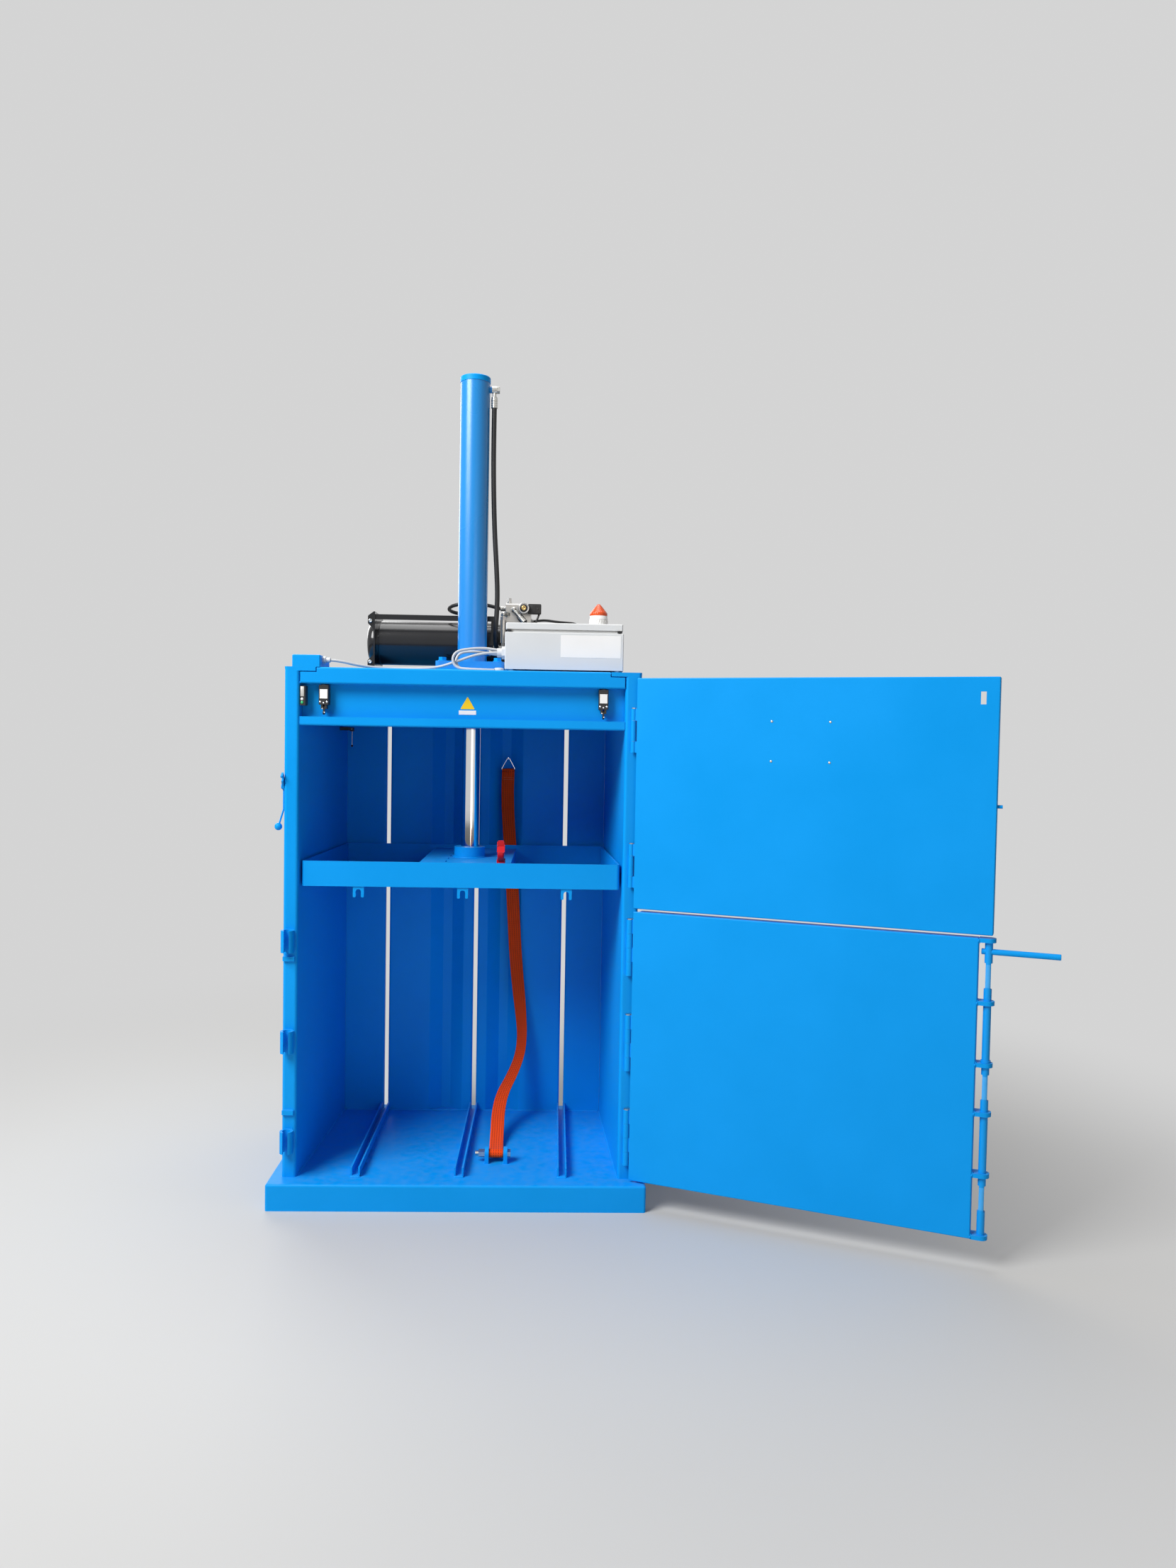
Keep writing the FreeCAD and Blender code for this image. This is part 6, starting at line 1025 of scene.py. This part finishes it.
# %% Solenoid
COIL_PLACE = behind(172, 431, 1955)
knurl, cap, nut, plug = bmesh.new(), bmesh.new(), bmesh.new(), bmesh.new()
add_turned(knurl, [(12.5, 0), (19.6, 0), (19.6, 4.7), (18.8, 5.5), (13.3, 5.5), (12.5, 4.7)],
           COIL_PLACE + Vector((0, 0.5, 0)) * MM, FORWARD, 120,
           wave=lambda turn: 1.0 - 0.02 * abs(math.sin(turn * 22)), closed=True)
piece("Coil_ring", knurl, "frame", "bright_steel", "zinc_steel")
add_turned(cap, [(12.8, 0), (12.8, 6.5), (11.8, 7.5)], COIL_PLACE, FORWARD, 40)
piece("Coil_cap", cap, "frame", "black_plastic", "black_plastic")
add_turned(nut, [(8.5, 7.4), (8.5, 9.0), (7.6, 10.0), (3.2, 10.0), (3.0, 9.4), (1, 9.2)], COIL_PLACE,
           FORWARD, 36)
piece("Coil_nut", nut, "frame", "brass")
add_box(plug, (188.5, 441.6, 1939), (231.5, 444.2, 1970), 1.0)
add_box(plug, (196, 440.6, 1944), (214, 442.0, 1965), 0.5)
add_disc(plug, 3.0, 1.2, behind(222, 441.8, 1954.5), FORWARD, dome=0.5)
piece("Coil_plug_trim", plug, "frame", "black_plastic", "black_plastic")

# %% [markdown]
# Zinc screws hold the ears of the tank's end plate, and a weld ring runs round the tank at each of its
# domed ends.

# %% Tank
TANK_SEAM, TANK_MIDDLE = 78.2, behind(0, 520, 1830)
screws, ring_weld = bmesh.new(), bmesh.new()
for z in (1757.0, 1900.0):
    add_turned(screws, [(6.2, 0), (6.2, 2.2), (5.4, 3.0), (3.0, 3.0), (2.8, 1.6), (1.0, 1.5)],
               behind(-362.75, 419.2, z), FORWARD, 24)
piece("Ear_screws", screws, "frame", "zinc_steel", "zinc_steel")
for x in (-338.0, 38.0):
    circle = [TANK_MIDDLE + at(x, TANK_SEAM * math.cos(t), TANK_SEAM * math.sin(t))
              for t in turns(72, 1)]
    add_bead(ring_weld, circle, 2.0, 41)
piece("Tank_welds", ring_weld, "frame", "black_paint", "black_paint")

# %% [markdown]
# ## Stitches on the strap
#
# The end loops are sewn down with a light thread. Each row is a line of short beads across the webbing, on
# the side that is seen.

# %% Rows of stitches
STITCHES, STITCH_GAP, STITCH_HALF, THREAD_RAISED = 9, 4.6, 1.6, 0.25
thread = bmesh.new()
for k in (3, 4, len(strap_points) - 4, len(strap_points) - 5):
    ahead = heading(strap_points, k)
    out = SIDEWAYS.cross(ahead).normalized()
    across = ahead.cross(out).normalized()
    face = strap_points[k] + out * (STRAP_THICKNESS / 2 + THREAD_RAISED) * MM
    for step in range(STITCHES):
        middle = face + across * (step - STITCHES // 2) * STITCH_GAP * MM
        add_bead(thread, [middle - across * STITCH_HALF * MM, middle + across * STITCH_HALF * MM], 0.45, step)
piece("Strap_stitches", thread, "frame", "thread", "orange_webbing")

# %% [markdown]
# ## Welds that move
#
# The platen's boss, its forks and the hook's foot are welded too, and so are the lugs on the lower door.
# Each body has its own piece, which rides on it.

# %% Welds of the ram and of the door
PLATEN_SEAM, FORK_SEAM, BOSS_SEAM = 1085.6, 1017.4, 54.2
ram_beads = bmesh.new()
boss = [behind(BOSS_SEAM * math.cos(t), 335 + BOSS_SEAM * math.sin(t), PLATEN_SEAM) for t in turns(64, 1)]
add_bead(ram_beads, boss, 3.4, 43)
for x in LANES:
    for depth in (19.5, 41.5):
        seam(ram_beads, (x - 17, depth, FORK_SEAM), (x + 17, depth, FORK_SEAM), 2.4, 47)
for x in (106.4, 133.6):
    seam(ram_beads, (x, 56, PLATEN_SEAM), (x, 100, PLATEN_SEAM), 2.4, 53)
piece("Ram_welds", ram_beads, "ram", "blue_paint", "blue_paint")

LUG_LEVELS = (90.0, 269.0, 446.0, 587.0, 764.0, 943.0)
LOWER_EDGE, DOOR_FACE, DOOR_FOOT, DOOR_HEAD = 1052.5, -9.5, 92.0, 953.0
lug_beads = bmesh.new()
for level in LUG_LEVELS:
    for z in (level - 0.4, level + 12.4):
        if DOOR_FOOT < z < DOOR_HEAD:
            edge = LOWER_EDGE + 0.6
            add_bead(lug_beads, [on_door(edge, DOOR_FACE + 2, z), on_door(edge, 22, z)], 2.8, 59)
    add_bead(lug_beads, [on_door(LOWER_EDGE - 0.5, DOOR_FACE - 0.2, level + rise) for rise in (1.5, 10.5)],
             2.6, 61)
piece("Lug_welds", lug_beads, "lower_door", "blue_paint", "blue_paint")

# %% [markdown]
# ## Rivets and hose ends
#
# Four rivets end inside the upper door, with bare tips. A hose ends in a crimped ferrule with grooves all
# round and a hexagon behind it.

# %% Rivets and ferrules
RIVET_MIDDLE, RIVET_HALF = 532, 87.5
tips, crimps = bmesh.new(), bmesh.new()
for x in (RIVET_MIDDLE - RIVET_HALF, RIVET_MIDDLE + RIVET_HALF):
    for z in (1441.0, 1561.0):
        foot = on_door(x, -9.3, z)
        inward = (on_door(x, -19.3, z) - foot).normalized()
        add_turned(tips, [(3.9, 0), (3.9, 0.5), (3.3, 1.4), (1.9, 2.1), (0.6, 2.3)], foot, inward, 24)
piece("Rivet_tips", tips, "upper_door", "zinc_steel", "zinc_steel")


def add_ferrule(shape, foot, axis, radius, length, across):
    """A crimped sleeve with grooves all round, and the hexagon behind it."""
    profile = [(radius - 0.6, 0), (radius, 0.8)]
    for k in range(3):
        start = 3.0 + k * (length - 8) / 3
        profile += [(radius, start), (radius - 0.9, start + 1.2), (radius - 0.9, start + 3.2),
                    (radius, start + 4.4)]
    profile += [(radius, length - 0.8), (radius - 0.6, length)]
    add_turned(shape, profile, foot, axis, 32)
    r = across / 2
    add_turned(shape, [(r * 0.9, 0), (r, 0.6), (r, 6.0), (r * 0.9, 7.0)],
               foot + axis * (length + 1.0) * MM, axis, 6)


elbow_end = behind(176, 430, 1905)
to_elbow = (behind(136, 448, 1951) - elbow_end).normalized()
add_ferrule(crimps, behind(65, 335, 2620.5), UPWARD, 11.2, 30.0, 19.0)
add_ferrule(crimps, elbow_end, to_elbow, 11.6, 26.0, 19.0)
add_ferrule(crimps, behind(88.5, 492, 1958), SIDEWAYS, 9.2, 20.0, 17.0)
piece("Hose_ferrules", crimps, "frame", "zinc_steel", "zinc_steel")
